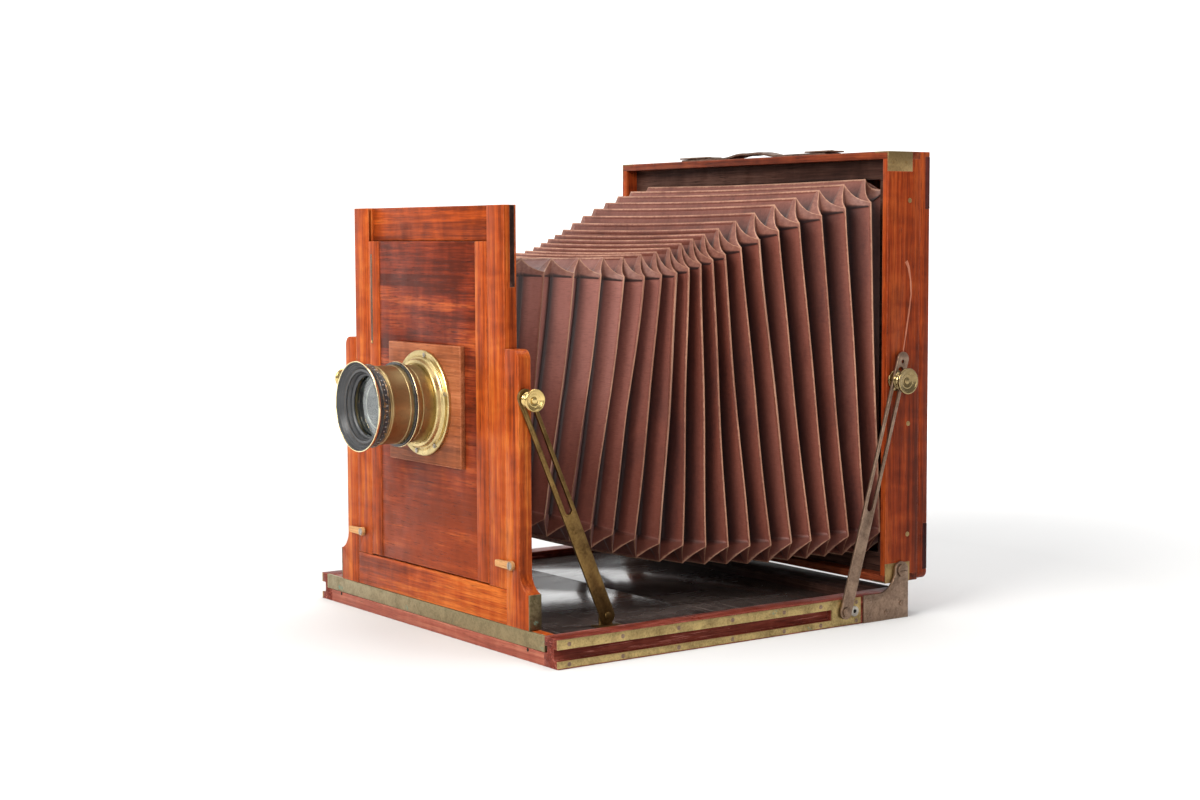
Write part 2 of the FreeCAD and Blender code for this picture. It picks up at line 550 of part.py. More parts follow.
# ---------------------------------------------------------------- back and focusing screen
def build_back():
    back = box(-BOX_HALF, BOX_HALF, BOX_REAR + 0.2, BACK_REAR, BOX_LOW, BOX_HIGH)
    rebate = box(-BACK_HALF_W, BACK_HALF_W, REGISTER, BACK_REAR + 1, BACK_LOW, BACK_HIGH)
    light = box(-BACK_HALF_W + 14, BACK_HALF_W - 14, BOX_REAR - 1, BACK_REAR, BACK_LOW + 14, BACK_HIGH - 14)
    low_corners = [e for e in back.Edges
                   if abs(e.CenterOfMass.z - BOX_LOW) < 0.1 and abs(abs(e.CenterOfMass.x) - BOX_HALF) < 0.1]
    back = back.makeFillet(6.0, low_corners).cut(rebate).cut(light)
    strips = []
    for z0, z1 in ((BOX_LOW + 8, BOX_LOW + 46), (BOX_HIGH - 46, BOX_HIGH - 4)):
        strips += pair(box(BOX_HALF - 1.6, BOX_HALF + 0.2, 364.6, BACK_REAR, z0, z1))
    for strip in strips:
        back = back.cut(strip)
    save("back_frame", back)
    save("back_strips", *strips)
    low, high, half = BACK_LOW + 1, BACK_HIGH - 1, BACK_HALF_W - 1
    frame = frame_ring(half, low, high, 18, REGISTER, SCREEN_REAR)
    glass_seat = box(-half + 14, half - 14, 363.5, 365.7, low + 14, high - 14)
    save("screen_frame", frame.cut(glass_seat))
    save("ground_glass", glass_seat)
    hinge_x, hinge_y = SCREEN_HINGE
    fixed, moving = [], []
    for z in (135.0, 273.0):
        leaf = box(hinge_x - 14, hinge_x, BACK_REAR, BACK_REAR + 1.4, z - 6.8, z + 6.8)
        leaf = leaf.fuse(box(hinge_x - 2.3, hinge_x, BACK_REAR, hinge_y, z - 6.8, z + 6.8))
        leaf = leaf.fuse(rod_z(hinge_x, hinge_y, 2.3, z - 6.8, z + 6.8)).removeSplitter()
        bore = rod_z(hinge_x, hinge_y, 1.1, z - 21, z + 21)
        fixed += [leaf.cut(bore), rod_z(hinge_x, hinge_y, 1.1, z - 20.5, z + 20.5)]
        wing = box(hinge_x + 3.6, hinge_x + 17, SCREEN_REAR, SCREEN_REAR + 1.4, z - 20, z + 20)
        for z0, z1 in ((z - 20, z - 7), (z + 7, z + 20)):
            wing = wing.fuse(box(hinge_x, hinge_x + 5, hinge_y - 2.3, hinge_y - 0.9, z0, z1))
            wing = wing.fuse(rod_z(hinge_x, hinge_y, 2.3, z0, z1))
        moving.append(wing.removeSplitter().cut(rod_z(hinge_x, hinge_y, 1.1 + RUNNING, z - 21, z + 21)))
    save("screen_hinges", *fixed)
    save("screen_hinge_leaves", *moving)
    catch_x, catch_z = 167.0, (BACK_LOW + BACK_HIGH) / 2
    catch = rod_y(catch_x, catch_z, 4.2, BACK_REAR, SCREEN_REAR + 0.4)
    catch = catch.fuse(rod_y(catch_x, catch_z, 5.0, SCREEN_REAR + 0.4, SCREEN_REAR + 2.2))
    tongue = box(catch_x - 3.6, catch_x + 3.6, SCREEN_REAR + 0.4, SCREEN_REAR + 2.2, catch_z, catch_z + 24)
    catch = catch.fuse(tongue).fuse(rod_y(catch_x, catch_z + 24, 3.6, SCREEN_REAR + 0.4, SCREEN_REAR + 2.2))
    save("screen_catch", catch.removeSplitter())


os.makedirs("parts", exist_ok=True)
build_bed()
build_focus_slide()
build_front_standard()
build_rising_frame()
build_lens_panel()
build_lens()
build_bellows()
build_rear_box()
build_handle()
build_back()
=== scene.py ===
"""Looks for the mahogany view camera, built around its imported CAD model.

Everything is in metres in the CAD's own frame: +X across the camera, +Y from the lens to the
focusing screen, +Z up, with the origin at the tripod bush under the bed. Small sizes are written
in millimetres and multiplied by MM.
"""
import json
from math import asin, cos, exp, pi, radians, sin, sqrt, tau

import bmesh
import bpy
import numpy as np
from mathutils import Matrix, Vector

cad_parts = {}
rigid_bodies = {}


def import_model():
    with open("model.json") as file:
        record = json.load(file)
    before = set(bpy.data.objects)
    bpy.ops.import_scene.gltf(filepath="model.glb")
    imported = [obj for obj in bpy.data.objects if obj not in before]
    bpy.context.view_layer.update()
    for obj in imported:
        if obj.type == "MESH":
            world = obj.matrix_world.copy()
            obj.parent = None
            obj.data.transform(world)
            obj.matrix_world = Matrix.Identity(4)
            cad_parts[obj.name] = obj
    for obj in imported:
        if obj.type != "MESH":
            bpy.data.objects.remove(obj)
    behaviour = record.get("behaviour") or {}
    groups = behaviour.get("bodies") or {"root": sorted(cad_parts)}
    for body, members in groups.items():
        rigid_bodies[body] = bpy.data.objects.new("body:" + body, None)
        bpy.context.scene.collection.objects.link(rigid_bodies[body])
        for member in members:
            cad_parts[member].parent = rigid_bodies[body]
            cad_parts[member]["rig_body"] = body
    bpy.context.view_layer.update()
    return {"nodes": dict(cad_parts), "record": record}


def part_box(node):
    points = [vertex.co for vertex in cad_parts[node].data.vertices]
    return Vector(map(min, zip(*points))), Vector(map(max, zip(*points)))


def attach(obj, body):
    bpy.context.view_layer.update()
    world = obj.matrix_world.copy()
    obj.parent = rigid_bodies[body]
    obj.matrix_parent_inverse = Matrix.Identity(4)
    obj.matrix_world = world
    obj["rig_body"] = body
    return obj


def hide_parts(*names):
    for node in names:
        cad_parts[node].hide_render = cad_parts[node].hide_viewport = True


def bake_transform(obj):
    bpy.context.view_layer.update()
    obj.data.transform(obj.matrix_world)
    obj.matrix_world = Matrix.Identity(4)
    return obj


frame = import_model()

MM = 0.001
scene = bpy.context.scene
SLOT_OF = {part["node"]: part["material_slot"] for part in frame["record"]["subparts"]}


# ---------------- camera, lights and floor
CAMERA_PLACE = (1.3679, -0.9725, 0.3133)
CAMERA_TURN = radians(54.716)  # about Z, from looking along +Y
CAMERA_DIP = radians(4.695)  # below the horizon
CAMERA_ROLL = radians(-0.259)
CAMERA_LENS, SENSOR_WIDTH = 60.28, 36  # mm

# Each soft light: its name, place, target, size, power and colour.
LIGHTS = (
    ("key", (0.4, -2, 1.5), (0, -0.05, 0.15), (1.5, 1.1), 64, (1, 0.97, 0.93)),
    ("side", (2.2, -0.7, 1), (0.1, 0, 0.2), (0.8, 1.2), 9, (1, 1, 1)),
    ("window", (-1.3, -1.5, 2), (0, -0.15, 0.2), (0.7, 0.7), 7, (1, 1, 1)),
    ("low_window", (-2.1, -1.45, 0.45), (0, -0.2, 0.19), (0.45, 0.7), 0.7, (1, 1, 1)),
    ("top", (0.1, 0.3, 2.2), (0, 0, 0.1), (1.8, 1.8), 40, (1, 1, 1)),
)
WORLD_COLOUR, WORLD_STRENGTH = (1, 0.99, 0.98, 1), 0.3


def add_camera():
    data = bpy.data.cameras.new("camera")
    data.lens = CAMERA_LENS
    data.sensor_width = SENSOR_WIDTH
    data.clip_start = 0.01
    camera = bpy.data.objects.new("camera", data)
    turn = Matrix.Rotation(CAMERA_TURN, 4, "Z") @ Matrix.Rotation(pi / 2 - CAMERA_DIP, 4, "X")
    roll = Matrix.Rotation(CAMERA_ROLL, 4, "Z")
    camera.matrix_world = Matrix.Translation(CAMERA_PLACE) @ turn @ roll
    scene.collection.objects.link(camera)
    scene.camera = camera


def add_light(name, place, target, size, power, colour):
    """A soft rectangular light at place, facing target."""
    data = bpy.data.lights.new(name, "AREA")
    data.shape = "RECTANGLE"
    data.size, data.size_y = size
    data.energy = power
    data.color = colour
    light = bpy.data.objects.new(name, data)
    light.location = place
    light.rotation_euler = (Vector(target) - Vector(place)).to_track_quat("-Z", "Y").to_euler()
    scene.collection.objects.link(light)


def add_world():
    world = bpy.data.worlds.new("studio")
    world.use_nodes = True
    background = world.node_tree.nodes["Background"]
    background.inputs["Color"].default_value = WORLD_COLOUR
    background.inputs["Strength"].default_value = WORLD_STRENGTH
    scene.world = world


def add_floor():
    """A pale sheet that lies under the camera and curves up a long way behind it."""
    half, flat, bend, top, steps = 13, 3, 2.5, 8, 24
    direction = Vector((-sin(CAMERA_TURN), cos(CAMERA_TURN), 0))
    across = Vector((direction.y, -direction.x, 0))
    line = [(-half, 0), (flat, 0)]
    line += [(flat + bend * sin(a), bend - bend * cos(a))
             for a in np.linspace(0, pi / 2, steps)[1:]]
    line.append((flat + bend, top))
    points = [direction * along + across * side + Vector((0, 0, height))
              for along, height in line for side in (-half, half)]
    faces = [(2 * i, 2 * i + 1, 2 * i + 3, 2 * i + 2) for i in range(len(line) - 1)]
    new_piece("studio_floor", points, faces, studio_paper())


# ---------------- materials
class Surface:
    """A procedural material. Each method adds nodes and returns the output to use next."""

    def __init__(self, name, **uniform):
        self.material = bpy.data.materials.new(name)
        self.material.use_nodes = True
        self.tree = self.material.node_tree
        self.shader = self.tree.nodes["Principled BSDF"]
        self.place = self.add("ShaderNodeTexCoord").outputs["Object"]
        for socket, value in uniform.items():
            self.shader.inputs[socket.replace("_", " ").title().replace("Ior", "IOR")].default_value = value

    def add(self, kind, inputs=(), **settings):
        """A new node; inputs maps its sockets to outputs, numbers or colours."""
        node = self.tree.nodes.new(kind)
        for key, value in settings.items():
            setattr(node, key, value)
        for socket, value in dict(inputs).items():
            self.put(node.inputs[socket], value)
        return node

    def put(self, socket, value):
        """Link an output to a socket, or set the socket to a number or colour."""
        if isinstance(value, bpy.types.NodeSocket):
            self.tree.links.new(value, socket)
        elif isinstance(value, tuple) and len(value) == 3 and socket.type == "RGBA":
            socket.default_value = (*value, 1)
        else:
            socket.default_value = value

    def noise(self, scale, detail=3, rough=0.5, distort=0, stretch=(1, 1, 1), turn=(0, 0, 0)):
        """Cloudy noise; a low number in stretch draws it out along that axis."""
        vector = self.place
        if stretch != (1, 1, 1):
            inputs = {"Vector": vector, "Scale": stretch, "Rotation": turn}
            vector = self.add("ShaderNodeMapping", inputs).outputs[0]
        inputs = {"Vector": vector, "Scale": scale, "Detail": detail, "Roughness": rough,
                  "Distortion": distort}
        return self.add("ShaderNodeTexNoise", inputs).outputs[0]

    def cells(self, scale, feature="F1"):
        inputs = {"Vector": self.place, "Scale": scale}
        return self.add("ShaderNodeTexVoronoi", inputs, feature=feature).outputs["Distance"]

    def between(self, value, low, high, start=0, end=1):
        """Map low..high to start..end, held at the ends."""
        inputs = {"Value": value, "From Min": low, "From Max": high, "To Min": start, "To Max": end}
        return self.add("ShaderNodeMapRange", inputs).outputs["Result"]

    def calc(self, operation, a, b):
        return self.add("ShaderNodeMath", {0: a, 1: b}, operation=operation).outputs[0]

    def plus(self, a, b):
        return self.calc("ADD", a, b)

    def minus(self, a, b):
        return self.calc("SUBTRACT", a, b)

    def times(self, a, b):
        return self.calc("MULTIPLY", a, b)

    def mix(self, amount, a, b, how="MIX"):
        node = self.add("ShaderNodeMix", {0: amount, 6: a, 7: b}, data_type="RGBA", blend_type=how)
        return node.outputs[2]

    def over(self, colour, tint, value, low, high, most=1, least=0):
        """The colour with a tint over it, from least of it at low to most of it at high."""
        return self.mix(self.between(value, low, high, least, most), colour, tint)

    def ramp(self, value, *stops):
        node = self.add("ShaderNodeValToRGB", {0: value})
        elements = node.color_ramp.elements
        while len(elements) < len(stops):
            elements.new(0.5)
        for element, (position, colour) in zip(elements, stops):
            element.position = position
            element.color = (*colour, 1)
        return node.outputs[0]

    def attribute(self, name):
        return self.add("ShaderNodeAttribute", attribute_name=name).outputs["Fac"]

    def lift(self):
        """The height above the underside of the bed."""
        return self.add("ShaderNodeSeparateXYZ", {0: self.place}).outputs["Z"]

    def edges(self, radius):
        """1 beside a sharp edge of the piece, 0 on its open faces."""
        bevel = self.add("ShaderNodeBevel", {"Radius": radius}, samples=4).outputs[0]
        normal = self.add("ShaderNodeNewGeometry").outputs["Normal"]
        dot = self.add("ShaderNodeVectorMath", {0: bevel, 1: normal}, operation="DOT_PRODUCT")
        return self.between(dot.outputs["Value"], 0.99, 0.88)

    def finish(self, colour, rough, height=None, depth=0):
        """Connect colour, roughness and a relief of the given depth, and return the material."""
        self.put(self.shader.inputs["Base Color"], colour)
        self.put(self.shader.inputs["Roughness"], rough)
        if height is not None:
            bump = self.add("ShaderNodeBump", {"Strength": 1, "Distance": depth, "Height": height})
            self.put(self.shader.inputs["Normal"], bump.outputs[0])
        return self.material


def shade(colour, factor, extra=0):
    return tuple(min(1, factor * c + extra) for c in colour)


def along(axis, share):
    """A mapping scale that draws a texture out along one axis (0, 1 or 2)."""
    scale = [1, 1, 1]
    scale[axis] = share
    return tuple(scale)


def wood(name, axis, dark, middle, light, gloss=0.3, worn=0.5, scratches=0, figure=1, dashes=0.3,
         lighter_below=None, rubbed=1.1):
    """French-polished mahogany with its grain along an axis: figure, streaks, pores and worn edges."""
    s = Surface(name, coat_weight=0.035, coat_roughness=0.14, specular_ior_level=0.07)

    def grain(share, scale, detail, rough=0.5, distort=0):
        return s.noise(scale, detail, rough, distort, along(axis, share))

    broad, streak = grain(0.12, 16 * figure, 3, 0.5, 1.2), grain(0.03, 240, 4, 0.7, 0.2)
    band, fibre = grain(2.4, 30, 2, 0.5, 0.5), grain(0.02, 900, 3, 0.6)
    tone = s.plus(s.plus(s.times(broad, 0.42), s.times(streak, 0.42)), s.times(band, 0.16))
    colour = s.ramp(tone, (0.40, dark), (0.5, middle), (0.60, light))
    colour = s.over(colour, dark, fibre, 0.46, 0.66, 0.4)
    colour = s.over(colour, dark, grain(0.09, 640, 2), 0.52, 0.66, dashes)
    # lighter towards the bottom: below lighter_below, up to 0.6 of the way to a lighter tone
    if lighter_below:
        lighter_tone = tuple(0.6 * m + 0.4 * l for m, l in zip(middle, light))
        amount = s.between(s.lift(), lighter_below, 0.4 * lighter_below, 0, 0.6)
        colour = s.mix(amount, colour, lighter_tone, "LIGHTEN")
    pores = s.between(grain(0.045, 1500, 2), 0.62, 0.7)
    colour = s.mix(s.times(pores, 0.7), colour, shade(dark, 0.35))
    grime = s.noise(26, 6, 0.65)
    colour = s.over(colour, dark, grime, 0.52, 0.72, 0.45)
    chip = s.between(s.noise(190, 4, 0.6), 0.40, 0.60, 0.2, 1)
    pale = shade(light, rubbed, 0.05)
    colour = s.mix(s.times(s.times(s.edges(1.5 * MM), chip), worn), colour, pale)
    rough = s.between(s.noise(60, 4, 0.6), 0.3, 0.7, gloss, gloss + 0.2)
    height = s.minus(s.times(fibre, 0.4), pores)
    if scratches:
        scratch = s.noise(420, 6, 0.75, 0.4, along(axis, 0.05), (0, 0, 0.35))
        mark = s.between(scratch, 0.60 - 0.04 * scratches, 0.64 - 0.03 * scratches, 0, scratches)
        colour = s.mix(mark, colour, pale)
        rough = s.plus(rough, s.times(mark, 0.3))
        height = s.minus(height, mark)
    return s.finish(colour, rough, height, 0.06 * MM)


def brass(name, bright, tarnish, share, gloss, specks, green=0):
    """Old brass: bright metal under patches of tarnish, with pits, specks and some verdigris."""
    s = Surface(name, metallic=1)
    fine = s.noise(520, 4, 0.6)
    patch = s.plus(s.times(s.noise(55, 6, 0.68, 0.4), 0.7), s.times(fine, 0.3))
    cover = s.between(patch, 0.54 - 0.2 * share, 0.74 - 0.2 * share)
    speck = s.between(s.noise(1100, 3, 0.6), 0.62, 0.70, 0, specks)
    colour = s.mix(speck, s.mix(cover, bright, tarnish), shade(tarnish, 0.25))
    colour = s.mix(s.times(s.edges(0.6 * MM), 0.75), colour, shade(bright, 1.25))
    rough = s.between(cover, 0, 1, gloss, gloss + 0.26)
    if green:
        bloom = s.between(s.noise(90, 5, 0.7), 0.66 - 0.1 * green, 0.72 - 0.1 * green)
        colour = s.mix(bloom, colour, (0.16, 0.30, 0.23))
        rough = s.plus(rough, s.times(bloom, 0.35))
        s.put(s.shader.inputs["Metallic"], s.between(bloom, 0, 1, 1, 0.15))
    return s.finish(colour, rough, s.minus(s.times(fine, 0.5), speck), 0.04 * MM)


def turned_brass(name, bright, tarnish, share, lines=(0.02, 1, 0.02), gloss=0.2):
    """Brass turned on a lathe: fine tool lines round its axis under patchy lacquer."""
    s = Surface(name, metallic=1)
    patch = s.noise(45, 6, 0.65, 0.3, (1, 0.6, 1))
    cover = s.between(patch, 0.50 - 0.2 * share, 0.80 - 0.2 * share)
    speck = s.noise(900, 3, 0.6)
    colour = s.over(s.mix(cover, bright, tarnish), shade(tarnish, 0.3), speck, 0.64, 0.70, 0.5)
    colour = s.mix(s.times(s.edges(0.5 * MM), 0.8), colour, shade(bright, 1.3))
    rough = s.between(cover, 0, 1, gloss, gloss + 0.18)
    return s.finish(colour, rough, s.noise(2600, 2, stretch=lines), 0.006 * MM)


def lacquer(name, black, worn, gloss):
    """Black lacquer over brass, rubbed through on the edges and in small chips."""
    s = Surface(name)
    chips = s.between(s.noise(230, 5, 0.7), 0.66 - 0.10 * worn, 0.69 - 0.10 * worn)
    edge = s.times(s.edges(0.5 * MM), s.between(s.noise(500), 0.4, 0.6))
    bare = s.calc("MINIMUM", s.plus(s.times(chips, worn), s.times(edge, worn)), 1)
    brown = s.mix(s.noise(260, 4), (0.20, 0.09, 0.04), (0.45, 0.27, 0.10))
    dust = s.noise(140, 5, 0.7)
    colour = s.mix(bare, s.over(black, (0.5, 0.5, 0.52), dust, 0.5, 0.75, 0.05), brown)
    s.put(s.shader.inputs["Metallic"], s.times(bare, 0.9))
    rough = s.between(s.noise(80, 4), 0.3, 0.7, gloss, gloss + 0.15)
    return s.finish(colour, rough, s.noise(700), 0.03 * MM)


def leathercloth():
    """Maroon bellows cloth: fine grain, dusty corners and tan where the folds have worn through; painted
    shade in the valleys and on the bottom corners, painted shadow lines where the cards end, and a painted
    sheen on the front folds.
    """
    s = Surface("leathercloth", sheen_weight=0.06, sheen_roughness=0.4, specular_ior_level=0.42)
    fold, flap, card_end_shadow, front = (s.attribute(name) for name in CLOTH_VALUES)
    deep, base, dusty = (0.070, 0.014, 0.009), (0.145, 0.034, 0.020), (0.205, 0.062, 0.042)
    lift = s.lift()
    cloud = s.noise(26, 5, 0.6, 0.5, (1, 1, 0.3))
    rub = s.noise(330, 4, 0.6)
    tone = s.plus(s.times(cloud, 0.8), s.times(rub, 0.2))
    colour = s.ramp(tone, (0.36, deep), (0.5, base), (0.66, dusty))
    corner = s.mix(s.between(rub, 0.35, 0.65), (0.125, 0.045, 0.029), (0.225, 0.100, 0.068))
    # dusty tone on the loose corner cloth, and a little on the top and bottom faces, weaker low down as
    # painted shade
    colour = s.mix(s.times(flap, s.between(lift, 0.10, 0.2, 0.2, 0.75)), colour, corner)
    # painted shade: the low corners and the bottom face darkened towards the deep tone
    colour = s.mix(s.times(flap, s.between(lift, 0.13, 0.09, 0, 0.6)), colour, deep)
    # painted light and shade across the pleats: a lighter tint away from the valleys
    colour = s.over(colour, (0.25, 0.085, 0.058), fold, -0.25, 0, 0.35)
    # painted sheen: the upper front folds' cards lifted to a pale mauve, as a reflected light
    painted_front_sheen = s.times(front, s.between(lift, 0.13, 0.25, 0.15, 0.9))
    painted_front_sheen = s.times(painted_front_sheen, s.between(tone, 0.4, 0.6, 0.7, 1))
    colour = s.mix(painted_front_sheen, colour, (0.34, 0.125, 0.098))
    # painted shade: near black in the valleys, where the fold value is negative
    colour = s.over(colour, (0.012, 0.004, 0.004), fold, -0.80, -0.12, 0, 0.97)
    # painted shadow line where the stiffening cards end below each corner
    colour = s.over(colour, (0.014, 0.007, 0.008), card_end_shadow, 0.1, 0.7, 0.92)
    weave = s.noise(240, 2, stretch=(1, 1, 9))
    colour = s.over(colour, deep, weave, 0.5, 0.7, 0.3)
    tan = s.mix(s.between(cloud, 0.4, 0.6), (0.27, 0.125, 0.076), (0.42, 0.225, 0.145))
    worn = s.plus(fold, s.between(rub, 0.35, 0.65, -0.18, 0.18))
    colour = s.over(colour, tan, worn, 0.30, 0.75)
    height = s.plus(s.times(s.cells(1500), 0.6), s.times(weave, 0.5))
    return s.finish(colour, s.between(tone, 0.4, 0.65, 0.52, 0.36), height, 0.06 * MM)


def ebony():
    """Black stain with a shellac shine, dulled by rubbing and dust."""
    s = Surface("ebonised_wood", coat_weight=0.5, coat_roughness=0.12)
    haze = s.noise(30, 6, 0.65, 0.5, (1, 0.3, 1))
    scuff = s.noise(210, 5, 0.75, 0.6, (0.07, 1, 1), (0, 0, 0.08))
    colour = s.ramp(haze, (0.35, (0.034, 0.025, 0.022)), (0.65, (0.120, 0.092, 0.082)))
    colour = s.over(colour, (0.30, 0.24, 0.22), scuff, 0.57, 0.66, 0.5)
    return s.finish(colour, s.between(haze, 0.35, 0.65, 0.14, 0.30), s.times(scuff, 0.3), 0.03 * MM)


def strap_leather():
    s = Surface("strap_leather", specular_ior_level=0.3)
    crack = s.cells(420, "DISTANCE_TO_EDGE")
    cloud = s.noise(90, 6, 0.65)
    colour = s.ramp(cloud, (0.35, (0.035, 0.018, 0.012)), (0.65, (0.13, 0.07, 0.045)))
    colour = s.over(colour, (0.30, 0.20, 0.14), crack, 0, 0.06, 0, 0.6)
    return s.finish(colour, s.between(cloud, 0.4, 0.6, 0.75, 0.5), crack, 0.15 * MM)


def clear_glass():
    """Coated glass with a cool tint and the faintest cleaning marks."""
    s = Surface("lens_glass", transmission_weight=1, ior=1.52, coat_weight=0.1, coat_roughness=0.02)
    wipe = s.noise(120, 4, 0.6, stretch=(1, 1, 0.2))
    colour = s.over((0.86, 0.95, 0.92), (0.92, 0.97, 0.97), wipe, 0.45, 0.7)
    return s.finish(colour, s.between(wipe, 0.5, 0.75, 0, 0.02))


def ground_glass():
    s = Surface("ground_glass", transmission_weight=0.85, ior=1.5)
    frost = s.noise(2500, 3, 0.6)
    colour = s.over((0.86, 0.89, 0.87), (0.78, 0.80, 0.77), s.noise(40, 4), 0.4, 0.7)
    return s.finish(colour, s.between(frost, 0.3, 0.7, 0.42, 0.6), frost, 0.02 * MM)


def dark_void():
    """The unlit black inside a hole or a tube."""
    s = Surface("dark_void", specular_ior_level=0.2)
    return s.finish(s.mix(s.noise(300), (0.004, 0.004, 0.004), (0.012, 0.011, 0.010)), 0.7)


def painted_mark():
    """White filling of engraved marks, partly lost."""
    s = Surface("painted_mark")
    loss = s.between(s.noise(900, 4, 0.7), 0.52, 0.6)
    colour = s.mix(loss, (0.72, 0.70, 0.66), (0.10, 0.08, 0.07))
    return s.finish(colour, s.between(loss, 0, 1, 0.5, 0.7))


def studio_paper():
    """White paper that is lit from behind everywhere but round the camera."""
    s = Surface("studio_paper", specular_ior_level=0.1, emission_color=(1, 1, 1, 1))
    colour = s.mix(s.noise(3, 2), (0.62, 0.62, 0.615), (0.65, 0.65, 0.65))
    distance = s.add("ShaderNodeVectorMath", {0: s.place}, operation="LENGTH").outputs["Value"]
    s.put(s.shader.inputs["Emission Strength"], s.between(distance, 0.5, 1.9, 0.04, 0.85))
    return s.finish(colour, 0.8)


# ---------------- mesh helpers
SHARP = radians(35)  # edges bent further than this are shaded sharp
ARRIS = radians(50)  # edges bent further than this are rounded off
FLAT = radians(1)  # faces bent less than this are made into one
CAD_MERGE, MERGE = 0.002 * MM, 0.001 * MM  # points nearer than this are made into one


def as_piece(name, mesh, material, sharp):
    mesh.materials.append(material)
    mesh.polygons.foreach_set("use_smooth", [True] * len(mesh.polygons))
    mesh.set_sharp_from_angle(angle=sharp)
    piece = bpy.data.objects.new(name, mesh)
    scene.collection.objects.link(piece)
    return piece


def new_piece(name, points, faces, material, sharp=SHARP):
    mesh = bpy.data.meshes.new(name)
    mesh.from_pydata([tuple(p) for p in points], [], faces)
    return as_piece(name, mesh, material, sharp)


def from_bmesh(name, bm, material, sharp=SHARP):
    mesh = bpy.data.meshes.new(name)
    bmesh.ops.recalc_face_normals(bm, faces=bm.faces)
    bm.to_mesh(mesh)
    bm.free()
    return as_piece(name, mesh, material, sharp)


def to_bmesh(points, faces):
    bm = bmesh.new()
    vertices = [bm.verts.new(p) for p in points]
    for face in faces:
        bm.faces.new([vertices[i] for i in face])
    return bm


def net(rows, count, closed=False):
    """Faces of a tube between rows of count points; closed joins the last row to the first."""
    faces = []
    for row in range(rows if closed else rows - 1):
        here, there = row * count, (row + 1) % rows * count
        for i in range(count):
            j = (i + 1) % count
            faces.append((here + i, here + j, there + j, there + i))
    return faces


def body_of(node):
    return frame["nodes"][node]["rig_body"]


def settle(piece, body, slot, *nodes):
    """Hang a finished piece on its body and hide the CAD nodes it stands for; the slot is not used."""
    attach(piece, body)
    if nodes:
        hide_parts(*nodes)


def stand_in(piece, node):
    """Hang a finished piece in the place of one CAD node."""
    settle(piece, body_of(node), SLOT_OF[node], node)


def round_off(bm, width, clamped):
    arrises = [e for e in bm.edges if e.is_manifold and e.calc_face_angle(0) > ARRIS]
    bmesh.ops.bevel(bm, geom=arrises, offset=width, offset_type="OFFSET", segments=2, profile=0.5,
                    affect="EDGES", clamp_overlap=clamped)


def eased(node, width, material):
    """The CAD node with its arrises rounded off by width, as a hand-finished piece has them."""
    bm = bmesh.new()
    bm.from_mesh(frame["nodes"][node].data)
    bmesh.ops.remove_doubles(bm, verts=bm.verts, dist=CAD_MERGE)
    bmesh.ops.dissolve_limit(bm, angle_limit=FLAT, verts=bm.verts, edges=bm.edges)
    round_off(bm, width, clamped=True)
    stand_in(from_bmesh(node + "_eased", bm, material), node)


def lathe(name, profile, centre, axis, material, turns):
    """A turned piece: profile is a closed list of (mm along axis, radius in mm) from centre."""
    axis = Vector(axis)
    first = Vector((0, 0, 1))
    second = axis.cross(first)
    points = []
    for angle in (tau * step / turns for step in range(turns)):
        outward = first * cos(angle) + second * sin(angle)
        points += [Vector(centre) + axis * (a * MM) + outward * (r * MM) for a, r in profile]
    bm = to_bmesh(points, net(turns, len(profile), closed=True))
    bmesh.ops.remove_doubles(bm, verts=bm.verts, dist=MERGE)
    bmesh.ops.dissolve_degenerate(bm, dist=MERGE, edges=bm.edges)
    return from_bmesh(name, bm, material, radians(28))


def rounded(profile, radius):
    """The closed profile with each corner turned into a small arc of points."""
    result = []
    for i, corner in enumerate(profile):
        here = Vector(corner)
        before, after = Vector(profile[i - 1]), Vector(profile[(i + 1) % len(profile)])
        reach = min(radius, 0.45 * (before - here).length, 0.45 * (after - here).length)
        start = here + (before - here).normalized() * reach
        end = here + (after - here).normalized() * reach
        for t in np.linspace(0, 1, 4):
            result.append(tuple(start * (1 - t) ** 2 + here * (2 * t * (1 - t)) + end * t ** 2))
    return result


def arc(radius, start, end, count):
    return [(radius * cos(a), radius * sin(a)) for a in np.linspace(start, end, count)]


def oblong(left, right, low, high):
    return [(left, low), (right, low), (right, high), (left, high)]


def add_prism(bm, outline, base, height, place):
    """Add a prism to bm: outline is (u, v) points; place maps (u, v, w) to a point."""
    low = [bm.verts.new(place(u, v, base)) for u, v in outline]
    high = [bm.verts.new(place(u, v, base + height)) for u, v in outline]
    count = len(outline)
    for i in range(count):
        j = (i + 1) % count
        bm.faces.new((low[i], low[j], high[j], high[i]))
    bm.faces.new(high)
    bm.faces.new(low[::-1])


def add_screw(bm, centre, normal, radius, height, turn):
    """Add a slotted screw head: a thin round base and two half moons beside the slot."""
    normal = Vector(normal)
    slot_half = asin(0.22)
    base = 0.45 * height
    first = normal.orthogonal().normalized()
    first.rotate(Matrix.Rotation(turn, 3, normal))
    second = normal.cross(first)

    def place(u, v, w):
        return Vector(centre) + first * u + second * v + normal * w

    add_prism(bm, arc(radius, 0, tau, 25)[:-1], 0, base, place)
    for start in (slot_half, pi + slot_half):
        moon = arc(0.97 * radius, start, start + pi - 2 * slot_half, 14)
        add_prism(bm, moon, base, height - base, place)


def screws(name, heads, body, slot, material, *nodes):
    """One piece of several screw heads: (centre, normal, radius mm, height mm)."""
    bm = bmesh.new()
    for number, (centre, normal, radius, height) in enumerate(heads):
        add_screw(bm, centre, normal, radius * MM, height * MM, 0.7 + 2.1 * number)
    settle(from_bmesh(name, bm, material), body, slot, *nodes)


def mirrored(heads):
    return heads + [((-c[0], c[1], c[2]), (-n[0], n[1], n[2]), r, h) for c, n, r, h in heads]


